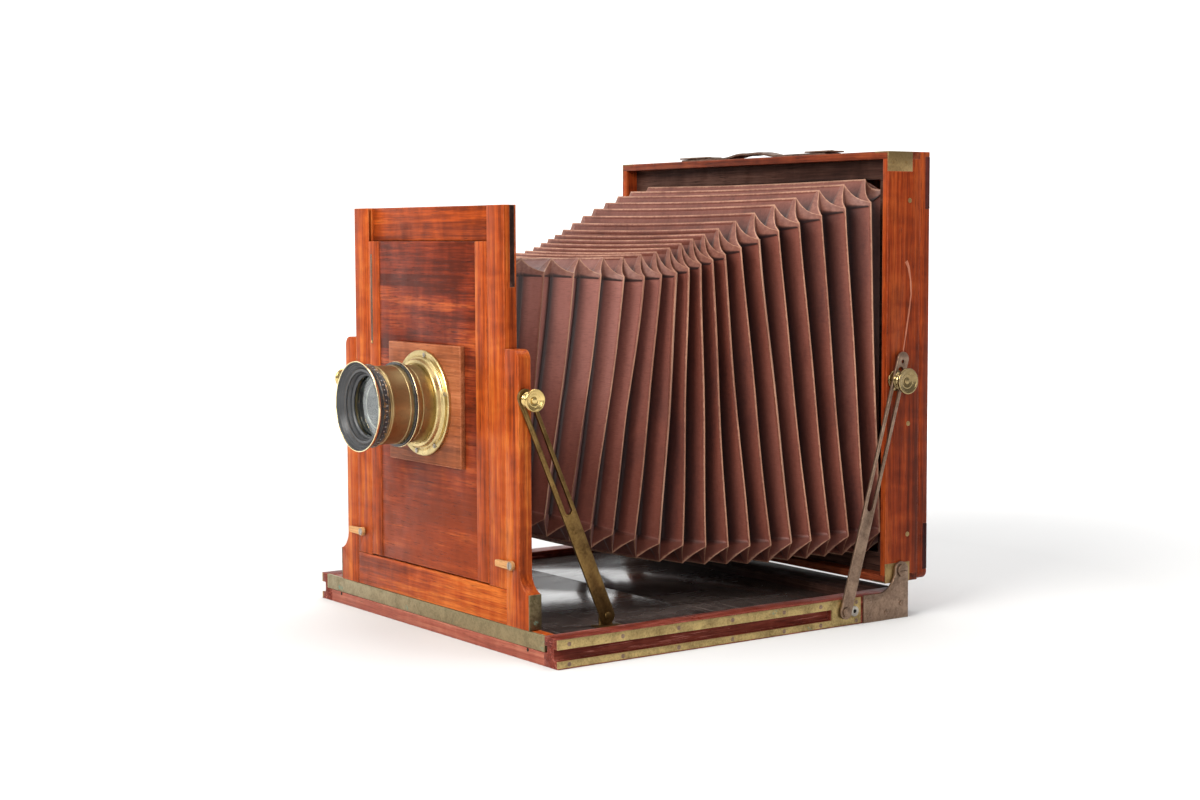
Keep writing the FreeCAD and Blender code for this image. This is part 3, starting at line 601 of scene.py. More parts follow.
# ---------------- palette
CLOTH_VALUES = ("fold", "flap", "card_end_shadow", "front")  # what the bellows' mesh tells its cloth: fold wear with painted valley shade, loose corners, painted shadow lines where the cards end, and the painted front sheen
RED_TONES = ((0.125, 0.019, 0.004), (0.360, 0.057, 0.008), (0.550, 0.140, 0.022))
BOX_TONES = ((0.085, 0.013, 0.004), (0.255, 0.036, 0.008), (0.40, 0.075, 0.016))
LID_TONES = ((0.060, 0.012, 0.006), (0.170, 0.032, 0.012), (0.28, 0.065, 0.022))
RAIL_TONES = ((0.040, 0.006, 0.004), (0.120, 0.016, 0.008), (0.22, 0.045, 0.026))
PANEL_TONES = ((0.070, 0.011, 0.004), (0.195, 0.027, 0.008), (0.40, 0.080, 0.018))
CROSS_TONES = ((0.19, 0.050, 0.034), (0.31, 0.085, 0.055), (0.43, 0.16, 0.10))
BOARD_TONES = ((0.14, 0.040, 0.016), (0.29, 0.083, 0.030), (0.42, 0.15, 0.065))
BLACK_TONES = ((0.016, 0.006, 0.004), (0.048, 0.020, 0.014), (0.090, 0.044, 0.032))
UPRIGHT = wood("mahogany_upright", 2, *RED_TONES, figure=1.3, dashes=0.25)
LEVEL = wood("mahogany_level", 0, *RED_TONES)
BOX_SIDE = wood("mahogany_box_side", 2, *BOX_TONES, 0.26)
BOX_LEVEL = wood("mahogany_box_level", 0, *LID_TONES, 0.3)
RAIL = wood("mahogany_rail", 1, *RAIL_TONES, 0.26, 0.8, 0.95, rubbed=1.5)
PANEL = wood("mahogany_panel", 0, *PANEL_TONES, 0.28, figure=1.6, dashes=0.6, lighter_below=0.17)
CROSS_RAIL = wood("mahogany_bare", 0, *CROSS_TONES, 0.42, 0.6, 0.15)
BOARD = wood("lens_board_wood", 0, *BOARD_TONES, 0.32, 1, 0.2, 0.5, 0.08, rubbed=1.9)
STRIP_WOOD = wood("rosewood", 2, (0.018, 0.004, 0.004), (0.055, 0.012, 0.010), (0.11, 0.025, 0.020), 0.3, 0.4)
TAN_WOOD = wood("boxwood", 0, (0.26, 0.11, 0.035), (0.45, 0.21, 0.075), (0.60, 0.33, 0.14), 0.4, 0.3)
BARE_WOOD = wood("bare_wood", 2, (0.30, 0.085, 0.045), (0.50, 0.19, 0.11), (0.62, 0.30, 0.20), 0.6, 0.2)
EBONY = ebony()
DULL_BLACK = wood("dull_ebonised_wood", 0, *BLACK_TONES, 0.55)
CLOTH = leathercloth()
LEATHER = strap_leather()
PLATE_BRASS = brass("plate_brass", (0.54, 0.40, 0.17), (0.26, 0.185, 0.08), 0.58, 0.34, 0.8, 0.1)
STRIP_BRASS = brass("strip_brass", (0.37, 0.295, 0.16), (0.26, 0.21, 0.118), 0.6, 0.36, 0.5, 0.15)
CORNER_BRASS = brass("corner_brass", (0.34, 0.23, 0.10), (0.22, 0.145, 0.065), 0.5, 0.36, 0.4, 0.1)
STRUT_BRASS = brass("strut_brass", (0.23, 0.14, 0.048), (0.115, 0.066, 0.024), 0.65, 0.32, 0.7)
BRONZED = brass("bronzed_brass", (0.30, 0.205, 0.145), (0.165, 0.105, 0.074), 0.6, 0.34, 0.6)
GREEN_BRASS = brass("foot_plate_brass", (0.24, 0.19, 0.10), (0.12, 0.092, 0.05), 0.7, 0.4, 0.7, 0.8)
NUT_BRASS = turned_brass("nut_brass", (0.68, 0.50, 0.20), (0.38, 0.26, 0.09), 0.2, (1, 0.02, 0.02))
BRONZED_NUT = turned_brass("bronzed_nut", (0.36, 0.27, 0.13), (0.20, 0.14, 0.065), 0.35, (1, 0.02, 0.02))
FLANGE_BRASS = turned_brass("flange_brass", (0.66, 0.52, 0.25), (0.36, 0.27, 0.115), 0.4, gloss=0.26)
BARREL_BRASS = turned_brass("barrel_brass", (0.41, 0.31, 0.145), (0.24, 0.178, 0.085), 0.45, gloss=0.32)
RIM_BRASS = turned_brass("rim_brass", (0.88, 0.74, 0.44), (0.6, 0.44, 0.2), 0.1)
BLACK = lacquer("black_lacquer", (0.040, 0.042, 0.045), 0.12, 0.28)
WORN_BLACK = lacquer("worn_lacquer", (0.012, 0.013, 0.015), 0.8, 0.3)
RING_BLACK = lacquer("ring_lacquer", (0.02, 0.023, 0.026), 0.2, 0.22)
STEEL = brass("screw_steel", (0.50, 0.47, 0.42), (0.24, 0.21, 0.18), 0.5, 0.3, 0.5)
GLASS = clear_glass()
FROSTED = ground_glass()
VOID = dark_void()
MARKS = painted_mark()


# ---------------- carried-over CAD pieces
# Each finish, the width in mm of its rounded arrises, and the nodes that have it.
EASED = (
    (UPRIGHT, 0.55, ("standard_legs", "frame_stiles", "panel_cleats")),
    (LEVEL, 0.5, ("standard_base", "frame_rails", "slide_batten")),
    (BOX_LEVEL, 0.5, ("box_top", "box_bottom")),
    (BOX_SIDE, 0.5, ("box_sides", "back_frame", "screen_frame")),
    (PANEL, 0.5, ("lens_panel",)),
    (BOARD, 0.7, ("lens_board",)),
    (RAIL, 0.6, ("side_rail_left", "side_rail_right")),
    (CROSS_RAIL, 0.5, ("lower_cross_rails",)),
    (STRIP_WOOD, 0.4, ("back_strips",)),
    (EBONY, 0.5, ("sliding_board", "rear_floor_board")),
    # the rear cross rail takes this near-black finish as painted shade, for the shadow under the bellows
    (DULL_BLACK, 0.5, ("bellows_front_frame", "bellows_rear_frame", "rear_cross_rail")),
    (PLATE_BRASS, 0.25, ("side_plates",)),
    (STRIP_BRASS, 0.3, ("front_strip",)),
    (CORNER_BRASS, 0.2, ("box_corner_plates", "screen_hinges", "screen_hinge_leaves", "screen_catch")),
    (GREEN_BRASS, 0.25, ("foot_plates",)),
    (STRUT_BRASS, 0.3, ("front_strut_left", "front_strut_right", "front_strut_feet")),
    (BRONZED, 0.3, ("rear_strut_left", "rear_strut_right", "rear_brackets", "box_pivot_screws",
                    "standard_hinges", "standard_hinge_leaves")),
    (BRONZED, 0.35, ("handle_plates",)),
    (BRONZED, 0.12, ("bed_fasteners",)),
    (NUT_BRASS, 0.3, ("front_studs", "tripod_bush")),
    (BRONZED_NUT, 0.3, ("rear_studs",)),
    (FROSTED, 0.2, ("ground_glass",)),
)


def ease_all():
    for material, width, nodes in EASED:
        for node in nodes:
            eased(node, width * MM, material)


# ---------------- turn buttons
def turn_button(node):
    """A small tapered boxwood tongue with a slotted steel screw."""
    low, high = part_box(node)
    radius = (high.z - low.z) / 2
    pivot_x, pivot_z = high.x - radius, low.z + radius
    reach, front = pivot_x - low.x, low.y + 0.8 * MM
    chamfer, wide, narrow, thick = 0.6 * MM, 2.4 * MM, 1.6 * MM, 2.4 * MM
    tip = [(chamfer - reach, wide), (-reach, narrow), (-reach, -narrow), (chamfer - reach, -wide)]
    bm = bmesh.new()
    add_prism(bm, arc(radius, -2.2, 2.2, 15) + tip, 0, thick,
              lambda u, v, w: Vector((pivot_x + u, front + w, pivot_z + v)))
    round_off(bm, 0.45 * MM, clamped=False)
    stand_in(from_bmesh(node + "_tongue", bm, TAN_WOOD), node)
    head = ((pivot_x, front, pivot_z), (0, -1, 0), 2.9, 0.8)
    screws(node + "_screw", [head], body_of(node), "steel_screw", STEEL)


# ---------------- the lens
AXIS = 0.001  # radius in mm of a profile's points that lie on the axis


def lens_piece(name, profile, material, corners, *nodes, body="lens_panel", slot="brass", turns=160):
    """A turned lens piece; profile is (mm ahead of the flange's back, radius in mm)."""
    low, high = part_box("lens_flange")
    centre = ((low.x + high.x) / 2, high.y, (low.z + high.z) / 2)
    if corners:
        profile = rounded(profile, corners)
    settle(lathe(name, profile, centre, (0, -1, 0), material, turns), body, slot, *nodes)


def lens_glass(name, flat, rim, bulge, radius, steps, *nodes, turns=96):
    """A glass with one flat face and one that bulges, to the rear where bulge is negative."""
    dome = [(rim + bulge * cos(a), radius * sin(a)) for a in np.linspace(0, pi / 2, steps)]
    profile = [(flat, AXIS), *dome, (flat, radius)]
    lens_piece(name, profile, GLASS, 0, *nodes, slot="lens_glass", turns=turns)


def grooves(first, last, radius, pitch, depth):
    """Zigzag points of fine grooves along the lens axis."""
    count = round((last - first) / pitch)
    points = []
    for k in range(count):
        points += [(first + (last - first) * k / count, radius),
                   (first + (last - first) * (k + 0.5) / count, radius - depth)]
    return points


def build_lens():
    lens_piece("lens_flange_turned", [
        (0, 30.5), (0, 41.7), (2.3, 41.7), (3, 41), (3, 37.6), (2.7, 37.3), (2.7, 36.9),
        (3.1, 36.6), (4, 36.2), (4.6, 35.6), (4.7, 35.2), (5.3, 35), (7.7, 34.5), (8.5, 33.9),
        (8.5, 31.6), (8, 31.2), (8, 30.5),
    ], FLANGE_BRASS, 0.25, "lens_flange")
    lens_piece("lens_barrel_turned", [
        (-19, 25.2), (-19, 28), (0, 28), (0, 30.4), (17.6, 30.4), (17.9, 30.15), (18.3, 30.15),
        (18.6, 30.4), (19.6, 30.4), (19.8, 31.8), (23.4, 31.8), (23.6, 31), (26, 31), (29, 31),
        (29.4, 30.6), (42.6, 30.6), (42.8, 30.9), (44.6, 30.9), (44.8, 30.6), (46.4, 30.6), (47.2, 30),
        (47.2, 27), (49, 27), (49, 25.2),
    ], BARREL_BRASS, 0.2, "lens_barrel")
    lens_piece("barrel_ring_turned", [
        (24.4, 31), (24.4, 32.9), (24.7, 33.1), (25.9, 33.1), (26.1, 32.9), (26.1, 31),
    ], RING_BLACK, 0.15, "barrel_ring", slot="black_lacquer")
    lens_piece("barrel_ring_lip", [
        (23.4, 31), (23.4, 33), (23.7, 33.4), (24.2, 33.4), (24.4, 33.1), (24.4, 31),
    ], RIM_BRASS, 0.1)
    lens_piece("iris_ring_turned", [
        (47.4, 27.1), (47.4, 31.6), (48, 32.3), *grooves(48.4, 49.6, 32.4, 0.4, 0.25), (50, 32.1),
        (52.6, 32.1), *grooves(53, 54, 32.4, 0.4, 0.25), (54.4, 31.7), (54.4, 27.1),
    ], WORN_BLACK, 0, "iris_ring", body="iris_ring", slot="black_lacquer")
    lens_piece("lens_hood_turned", [
        (49.2, 25.2), (49.2, 26.9), (54.6, 26.9), (54.6, 32), (55, 32.6), (57.4, 34.6), (58.3, 34.9),
        (59.1, 34.9), (59.1, 34.3), (58.9, 33.9), (57.2, 33.2), (57.2, 32.6), (57.6, 32.4), (55.9, 31.4),
        (55.9, 30.9), (56.3, 30.7), (54.6, 29.6), (54.6, 29.1), (55, 28.9), (53.2, 27.8), (53.2, 27.3),
        (53.6, 27.1), (52, 26.3), (52, 25.9), (52.3, 25.7), (51, 25.2),
    ], BLACK, 0.12, "lens_hood", slot="black_lacquer")
    lens_piece("lens_hood_rim", [
        (57.9, 34.8), (57.9, 35), (59.5, 35), (59.5, 34.35), (59.1, 34.2), (58.9, 34.6),
    ], RIM_BRASS, 0.08)
    lens_piece("glass_retaining_ring", [
        (48.2, 25.2), (48.2, 23.6), (48.8, 23.2), (49.6, 23.2), (50.6, 24.4), (50.6, 25.2),
    ], BLACK, 0.1, slot="black_lacquer")
    lens_glass("front_glass", 41, 45.9, 3.2, 24.9, 16, "front_element")
    lens_glass("rear_glass", -10, -14.6, -2.6, 24.9, 12, "rear_element")
    lens_piece("inner_cell", [
        (40.6, 25.1), (40.6, 21.5), (36, 20.8), (35, 19), (30, 18.6), (29, 15), (20, 14.6),
        (20, AXIS), (18, AXIS), (18, 25.1),
    ], RING_BLACK, 0.2, slot="black_lacquer", turns=96)
    for name, ahead, radius, finish in (("outer", 40.7, 22.2, WORN_BLACK), ("inner", 35.1, 19.6, STEEL)):
        lens_piece("cell_ring_" + name, [
            (ahead - 0.6, radius + 0.7), (ahead - 0.6, radius - 0.5), (ahead, radius - 0.5),
            (ahead + 0.25, radius), (ahead, radius + 0.7),
        ], finish, 0.05, turns=96)
    lens_glass("inner_glass", 26.4, 28.6, 7, 18.4, 12, turns=72)
    build_iris_marks()
    build_flange_screws()


def build_iris_marks():
    """White index lines round the iris ring's rim, every fourth one longer."""
    low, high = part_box("iris_ring")
    x, z = (low.x + high.x) / 2, (low.z + high.z) / 2
    radius, middle = (high.x - low.x) / 2 - 0.32 * MM, (low.y + high.y) / 2 - 0.1 * MM
    wide, marks = 0.18 * MM, 48
    bm = bmesh.new()
    for step in range(marks):
        angle = radians(4 + 360 / marks * step)
        half = (0.55 if step % 4 else 1.1) * MM
        outward = Vector((cos(angle), 0, sin(angle)))
        sideways = Vector((-sin(angle), 0, cos(angle)))

        def place(u, v, w, outward=outward, sideways=sideways):
            return Vector((x, middle + v, z)) + outward * (radius + w) + sideways * u

        add_prism(bm, oblong(-wide, wide, -half, half), -0.15 * MM, 0.25 * MM, place)
    settle(from_bmesh("iris_ring_marks", bm, MARKS), "iris_ring", "black_lacquer")


def build_flange_screws():
    """The slotted screws of the flange, where the CAD heads are."""
    vertices = np.array([v.co for v in frame["nodes"]["flange_screws"].data.vertices])
    low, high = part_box("lens_flange")
    x, z = (low.x + high.x) / 2, (low.z + high.z) / 2
    angles = np.degrees(np.arctan2(vertices[:, 2] - z, vertices[:, 0] - x)).round(-1)
    heads, apart = [], 4 * MM
    for angle in sorted(set(angles)):
        middle = vertices[angles == angle].mean(axis=0)
        if all(np.hypot(middle[0] - h[0][0], middle[2] - h[0][2]) >= apart for h in heads):
            heads.append(((middle[0], low.y + 5.5 * MM, middle[2]), (0, -1, 0), 1.9, 0.7))
    screws("flange_screw_heads", heads, "lens_panel", "steel_screw", STEEL, "flange_screws")


# ---------------- thumb nuts
def thumb_nut(node, material):
    """A turned nut with a waisted collar, a beaded rim and a dished face."""
    low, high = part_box(node)
    outward = 1 if low.x > 0 else -1
    centre = (low.x if outward > 0 else high.x, (low.y + high.y) / 2, (low.z + high.z) / 2)
    rim = (high.z - low.z) / 2 / MM
    collar = 0.67 * rim
    bore = 2.75 if rim > 9 else 2.5  # the rear nuts are the larger ones
    profile = rounded([
        (0, bore), (0, collar), (1, collar), (1.3, 0.94 * collar), (2.2, 0.94 * collar),
        (2.6, collar * 0.8), (4.4, collar * 0.7), (6.4, collar * 0.76), (8.2, rim * 0.86),
        (8.9, rim * 0.98), (9.6, rim), (10.6, rim), (11.1, rim * 0.97), (11.1, rim * 0.88),
        (10.5, rim * 0.80), (9.9, rim * 0.62), (9.6, rim * 0.58), (9.7, rim * 0.50),
        (9.4, rim * 0.44), (9.1, bore),
    ], 0.3)
    stand_in(lathe(node + "_turned", profile, centre, (outward, 0, 0), material, 96), node)


# ---------------- the bellows
# Sizes in this section are in mm, and lengths run back from the bellows' front.
PLEATS = 18
CARD_PANEL = 17.1  # width of one stiffened panel from valley to ridge
TOP_FIRST, TOP_LAST = 31, 302  # first and last ridge along the top edge
FOOT_FIRST, FOOT_LAST = 8, 314  # and along the bottom edge
FOOT_CLOSING = 0.22  # how much closer the bottom edge's folds lie at the rear
FIRST_FOLD, LAST_FOLD = 1.5, 318  # no fold lies beyond these
# Spacing of the top edge's folds against the share of them passed, and the ridges' outline
# against the way back.
TOP_SPACING = ((0, 28), (0.12, 24), (0.22, 15), (0.40, 9.5), (0.55, 9.5), (0.65, 14), (0.85, 18), (1, 22))
HALF_WIDTH = ((0, 97), (106, 101), (174, 123), (302, 167), (319, 167))
TOP_HEIGHT = ((0, 296), (112, 296), (145, 301), (185, 316), (230, 335.5), (275, 350), (319, 359))
FOOT_HEIGHT = ((0, 91), (30, 83), (64, 74), (94, 64), (134, 53.5), (174, 48.5), (220, 46.5), (284, 49.5),
               (319, 50))
LEAST_DEPTH, END_DEPTH = 6, 10  # of a fold, and of the skin's ends inside the ridges
CORNER_TUCK = 3.5  # how much deeper the rear corners are folded in than the front ones
CORNER_GAP = 3  # bare cloth between a corner and its panel's card
CORNER_SAG = 0.17  # how far the loose corner cloth falls in, as a share of the depth
CARD_RELIEF, CARD_SWELL = 0.5, 0.5  # how far a card stands proud of the cloth, and bows out
CARD_START, CARD_RISE = 0.035, 0.045  # shares of a panel from a fold to its card, and up onto it
WANDER, TOP_SAG, FOOT_SAG = 0.9, 1.2, 2  # how far the folds stray and sink in the middle of a face
FOLD_BOW = 1.12  # power of the share of the way down by which the side folds lean
MIDDLE_Z = 200  # corners above this height are the upper ones
LIT_FRONT_FOLDS, LIT_FRONT_FADE = 8, 4  # folds at the front given a painted sheen and narrower painted valley shade, the last few less
FOLD_EDGE = 0.1  # share of a panel beside a fold over which its wear fades
CLOTH_THICK = 0.8
REAR_END = 324  # where the skin ends, inside the rear frame
SECTION_RIDGES = (2, 7, 13)  # ridges where one section ends and the next begins
ACROSS_PANEL = (0, 0.035, 0.08, 0.14, 0.3, 0.5, 0.7, 0.86, 0.92, 0.965, 1)
FLAP_STEPS = (0, 0.25, 0.5, 0.75)  # rows of points from a corner to the end of the cards
CARD_STEPS = (0, 0.5, 1.1, 2)  # rows beside the end of the cards
FACE_STEPS = 24  # rows between those, along one face


def reading(points, where):
    """The value at a place on a line through (place, value) points, held beyond its ends."""
    return np.interp(where, *zip(*points))


def top_share(s):
    """Where along the top edge a share s of the folds has been passed, from the fold spacing."""
    grid = np.linspace(0, 1, 201)
    spacing = reading(TOP_SPACING, grid)
    passed = np.concatenate([[0], np.cumsum((spacing[1:] + spacing[:-1]) / 2)])
    if 0 <= s <= 1:
        return np.interp(s, grid, passed / passed[-1])
    end_rate = spacing[0] if s < 0 else spacing[-1]
    return max(0, min(1, s)) + (s if s < 0 else s - 1) * end_rate / spacing.mean()


def ridge_place(number, top):
    """How far back a fold lies, at the top or the bottom edge."""
    s = (number - 1) / (PLEATS - 1)
    if top:
        place = TOP_FIRST + (TOP_LAST - TOP_FIRST) * top_share(s)
    else:
        s += FOOT_CLOSING * (s - s * s)
        place = FOOT_FIRST + (FOOT_LAST - FOOT_FIRST) * s
    return min(max(place, FIRST_FOLD), LAST_FOLD)


def fold_depth(number, top):
    """How far the valleys lie inside the ridges, from the panel width and the local spacing."""
    spacing = ridge_place(number + 0.5, top) - ridge_place(number - 0.5, top)
    depth = sqrt(max(CARD_PANEL ** 2 - (spacing / 2) ** 2, LEAST_DEPTH ** 2))
    return depth + CORNER_TUCK * number / PLEATS


def face_shares(length, first_flap, last_flap):
    """Shares of the way along one face at which its points lie, corner to corner."""
    first = [first_flap * f for f in FLAP_STEPS] + [first_flap + c for c in CARD_STEPS]
    last = [length - last_flap * f for f in FLAP_STEPS] + [length - last_flap - c for c in CARD_STEPS]
    middle = np.linspace(first[-1], last[-1], FACE_STEPS + 2)[1:-1]
    return np.concatenate([first, middle, last[::-1]]) / length


def fold_ring(number, phase):
    """One fold line round the bellows as points (back, x, z), corner after corner.

    Whole numbers are ridges of the side faces and valleys of the top and bottom; halves the other
    way round. The first and the last number are the skin's own ends."""
    end, on_side = number in (0, PLEATS + 1), number % 1 == 0
    corners, depths = [], []
    for top in (True, False):
        y = ridge_place(number, top)
        if end:
            y = REAR_END if number else 0
        depth = END_DEPTH if end else fold_depth(number, top)
        x, z = reading(HALF_WIDTH, y), reading(TOP_HEIGHT if top else FOOT_HEIGHT, y)
        if end or not on_side:
            x -= depth
        if end or on_side:
            z += -depth if top else depth
        corners.append((y, x, z))
        depths.append(depth)
    (top_y, top_x, top_z), (foot_y, foot_x, foot_z) = corners
    side_flaps = [CORNER_GAP + (0 if on_side or end else d) for d in depths]
    level_flaps = [CORNER_GAP + (d if on_side and not end else 0) for d in depths]
    points = []
    for face in range(4):  # down the right side, along the foot, up the left side, over the top
        if face in (0, 2):
            steps = face_shares(top_z - foot_z, *(side_flaps if face == 0 else side_flaps[::-1]))
        else:
            flap = level_flaps[1] if face == 1 else level_flaps[0]
            steps = face_shares(2 * (foot_x if face == 1 else top_x), flap, flap)
        for t in steps[:-1]:
            wave = 0 if end else WANDER * sin(pi * t) * sin(5 * t + phase[face])
            if face in (0, 2):
                down = t if face == 0 else 1 - t
                y = top_y + (foot_y - top_y) * down ** FOLD_BOW + wave
                x = top_x + (foot_x - top_x) * down
                if not end:
                    outline = reading(HALF_WIDTH, y) - (0 if on_side else depths[int(down > 0.5)])
                    hold = min(1, 12 * min(t, 1 - t)) * (1 if on_side else 0.35)
                    x += (outline - x) * hold
                points.append((y, x if face == 0 else -x, top_z + (foot_z - top_z) * down))
            else:
                x0, y0, z0 = (foot_x, foot_y, foot_z) if face == 1 else (-top_x, top_y, top_z)
                sag = 0 if end else (TOP_SAG if face == 3 else FOOT_SAG) * sin(pi * t)
                points.append((y0 + 0.8 * wave, x0 * (1 - 2 * t), z0 - sag))
    return np.array(points)


def round_values():
    """For each point round a ring: looseness of the corner cloth, whether on a card, and a painted shadow
    line where the cards end.
    """
    slack, beside = [1 - f for f in FLAP_STEPS], [0] * len(CARD_STEPS)
    loose = slack + beside + [0] * FACE_STEPS + beside + slack[::-1]
    half_card = [0] * len(FLAP_STEPS) + [0, 0.6, 1, 1]
    card = half_card + [1] * FACE_STEPS + half_card[::-1]
    # a painted shadow line on the rows where the cards end
    card_end_shadow = [0] * len(FLAP_STEPS) + [0.9, 0.9]
    card_end_shadow += [0] * (len(card) - len(card_end_shadow))
    return [np.tile(np.array(values[:-1]), 4) for values in (loose, card, card_end_shadow)]


def ridge_wear_and_valley_shade(u, side_first, narrow):
    """Near 1 on an outward fold, for its tan wear, and down to -1 towards an inward one, for painted valley
    shade that narrow narrows: for the side faces, then for top and bottom.
    """
    near_here, near_next = (max(0, 1 - gap / FOLD_EDGE) for gap in (u, 1 - u))
    shade_here, shade_next = (max(0, 1 - gap) ** narrow for gap in (u, 1 - u))
    first, second = near_here - shade_next, near_next - shade_here
    return (first, second) if side_first else (second, first)


def bellows_grid():
    """The whole skin, one row per line round it from front to back: points and cloth values."""
    numbers = [k / 2 for k in range(2 * PLEATS + 2)] + [PLEATS + 1]
    phases = np.random.default_rng(7).uniform(0, tau, (len(numbers), 4))
    rings = [fold_ring(n, phase) for n, phase in zip(numbers, phases)]
    loose, card, card_end_shadow = round_values()
    side_face = np.tile(np.repeat([True, False], len(loose) // 4), 2)
    rows, values = [], {label: [] for label in CLOTH_VALUES}
    for number, here, there in zip(numbers, rings, rings[1:]):
        step_on = there - here
        round_way = np.roll(here, -1, axis=0) - np.roll(here, 1, axis=0)
        normal = np.cross(round_way, step_on)
        normal /= np.linalg.norm(normal, axis=1)[:, None]
        inward = np.sign((0, 0, MIDDLE_Z) - here) * (0, 1, 1)
        fall = CORNER_SAG * fold_depth(number, True) * loose * np.where(here[:, 2] > MIDDLE_Z, 1, 0.2)
        # how far a fold is among the front ones given the painted sheen and narrower painted valley shade
        front = min(1, max(0, (LIT_FRONT_FOLDS - number) / LIT_FRONT_FADE))
        for u in ACROSS_PANEL[:-1]:
            arch = sin(pi * u)
            edge = np.clip((min(u, 1 - u) - CARD_START) / CARD_RISE, 0, 1)
            proud = CARD_RELIEF * edge + CARD_SWELL * arch
            push = normal * (proud * card)[:, None] + inward * (fall * arch)[:, None]
            rows.append(here + step_on * u + push)
            ridge = np.where(side_face, *ridge_wear_and_valley_shade(u, number % 1 == 0, 1.1 + 2.6 * front))
            # less painted valley shade on the loose corner cloth
            ridge = np.where(loose > 0.2, np.maximum(ridge, -0.12), ridge)
            values["fold"].append(np.where(loose > 0.99, 0.95, ridge))
            values["flap"].append(np.where(loose + (card < 0.3) > 0.3, 1, np.where(side_face, 0, 0.25)))
            values["card_end_shadow"].append(card_end_shadow * side_face * (0.08 < u < 0.92))
            # the painted front sheen, on the side faces' cards only
            values["front"].append(front * side_face * (card > 0.5))
    rows.append(rings[-1])
    blank = np.zeros(len(loose))
    return np.array(rows), {label: np.array(lines + [blank]) for label, lines in values.items()}


def bellows_section(name, rows, values, origin):
    """A stretch of the skin as a cloth of real thickness."""
    points = [(x * MM, origin + y * MM, z * MM) for row in rows for y, x, z in row]
    piece = new_piece(name, points, net(*rows.shape[:2]), CLOTH, radians(62))
    for label, numbers in values.items():
        layer = piece.data.attributes.new(label, "FLOAT", "POINT")
        layer.data.foreach_set("value", numbers.ravel().astype(np.float32))
    middle = Vector((0, 0, MIDDLE_Z * MM))
    outward = sum(f.normal.dot((f.center - middle) * Vector((1, 0, 1))) for f in piece.data.polygons)
    if outward < 0:
        piece.data.flip_normals()
    thick = piece.modifiers.new("thickness", "SOLIDIFY")
    thick.thickness = CLOTH_THICK * MM
    thick.offset = -1
    evaluated = piece.evaluated_get(bpy.context.evaluated_depsgraph_get())
    mesh = bpy.data.meshes.new_from_object(evaluated)
    piece.modifiers.clear()
    piece.data = mesh
    return piece


def bending_span(first, last, origin):
    """Two points at the ends of a section, on a line square to its leaning folds."""
    slope = sum(np.polyfit(row[:, 2], row[:, 0], 1)[0] for row in (first, last)) / 2
    line = Vector((0, 1, -slope)) / (1 + slope * slope)
    start = origin + (first[:, 0] - slope * first[:, 2]).max() * MM
    end = origin + (last[:, 0] - slope * last[:, 2]).min() * MM
    return line * start, line * end


def build_bellows():
    rows, values = bellows_grid()
    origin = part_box("bellows")[0].y
    cuts = [0] + [2 * n * (len(ACROSS_PANEL) - 1) for n in SECTION_RIDGES] + [len(rows) - 1]
    for number, (first, last) in enumerate(zip(cuts, cuts[1:])):
        part = {label: numbers[first:last + 1] for label, numbers in values.items()}
        piece = bellows_section("bellows_section_%d" % (number + 1), rows[first:last + 1], part, origin)
        start, end = bending_span(rows[first], rows[last], origin)
        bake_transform(piece)
        if number == 0:
            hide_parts("bellows")


# ---------------- the handle
def build_handle():
    """A cracked strap that lies flat at its ends and curls up in the middle, with its screws."""
    low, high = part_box("handle_strap")
    middle, half, rise = (low.y + high.y) / 2, (high.y - low.y) / 2, 1.95 * MM
    curls = ((-101, 0), (-60, 0.1), (-38, 0.2), (-30, 1.6), (-22, 3.4), (-8, 2.6), (2, 3.9), (12, 3.2),
             (20, 0.9), (30, 0.1), (60, 0.2), (95, 0))
    xs = np.linspace(low.x / MM, high.x / MM, 90)
    heights = np.pad(reading(curls, xs), 3, mode="edge")
    heights = np.convolve(heights, np.ones(7) / 7, mode="valid")
    across = np.linspace(-1, 1, 9)
    section = [(1, v) for v in across] + [(0, v) for v in across[::-1]]  # over the top and back
    points = []
    for x, height in zip(xs, heights):
        width = half * (1 - 0.12 * exp(-((x + 5) / 30) ** 2))
        for top, v in section:
            crown = 0.25 * (1 - v * v) * top + 0.2 * v ** 8 * (-1 if top else 1)
            curl = max(0.35 * v * sin(x / 9) * (height > 0.5), 0)
            points.append((x * MM, middle + v * width, low.z + (height + crown + curl) * MM + top * rise))
    count = len(section)
    faces = net(len(xs), count)
    for end in (0, len(points) - count):
        faces += [(end + j, end + j + 1, end + count - 2 - j, end + count - 1 - j)
                  for j in range(len(across) - 1)]
    strap = from_bmesh("handle_strap_curled", to_bmesh(points, faces), LEATHER, radians(60))
    settle(strap, "rear_box", "strap_leather", "handle_strap")
    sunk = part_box("handle_plates")[1].z - 0.1 * MM
    heads = [((x * MM, middle, sunk), (0, 0, 1), 2.6, 0.7) for x in (-96, -73, 76, 92)]
    screws("handle_screws", heads, "rear_box", "bronzed_brass", STEEL)


# ---------------- small trim
def disc(name, centre, normal, outer, inner, height, material, body, slot):
    """A flat washer standing on a face, or a full disc where inner is next to nothing."""
    profile = [(0, inner), (0, outer), (height * 0.6, outer), (height, outer - 0.5), (height, inner + 0.3)]
    settle(lathe(name, rounded(profile, 0.2), centre, normal, material, 48), body, slot)


def build_box_screws():
    """Small brass screws in the box's sides and corner plates."""
    low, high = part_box("box_sides")
    plate_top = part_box("box_corner_plates")[1].z
    places = [(24, z * MM, 2, 0.35) for z in (340, 159, 68)]
    places += [(depth, plate_top - 9 * MM, 1.6, 0.3) for depth in (7, 21)]
    heads = [((high.x, low.y + depth * MM, z), (1, 0, 0), r, h) for depth, z, r, h in places]
    screws("box_side_screws", mirrored(heads), "rear_box", "brass", CORNER_BRASS)


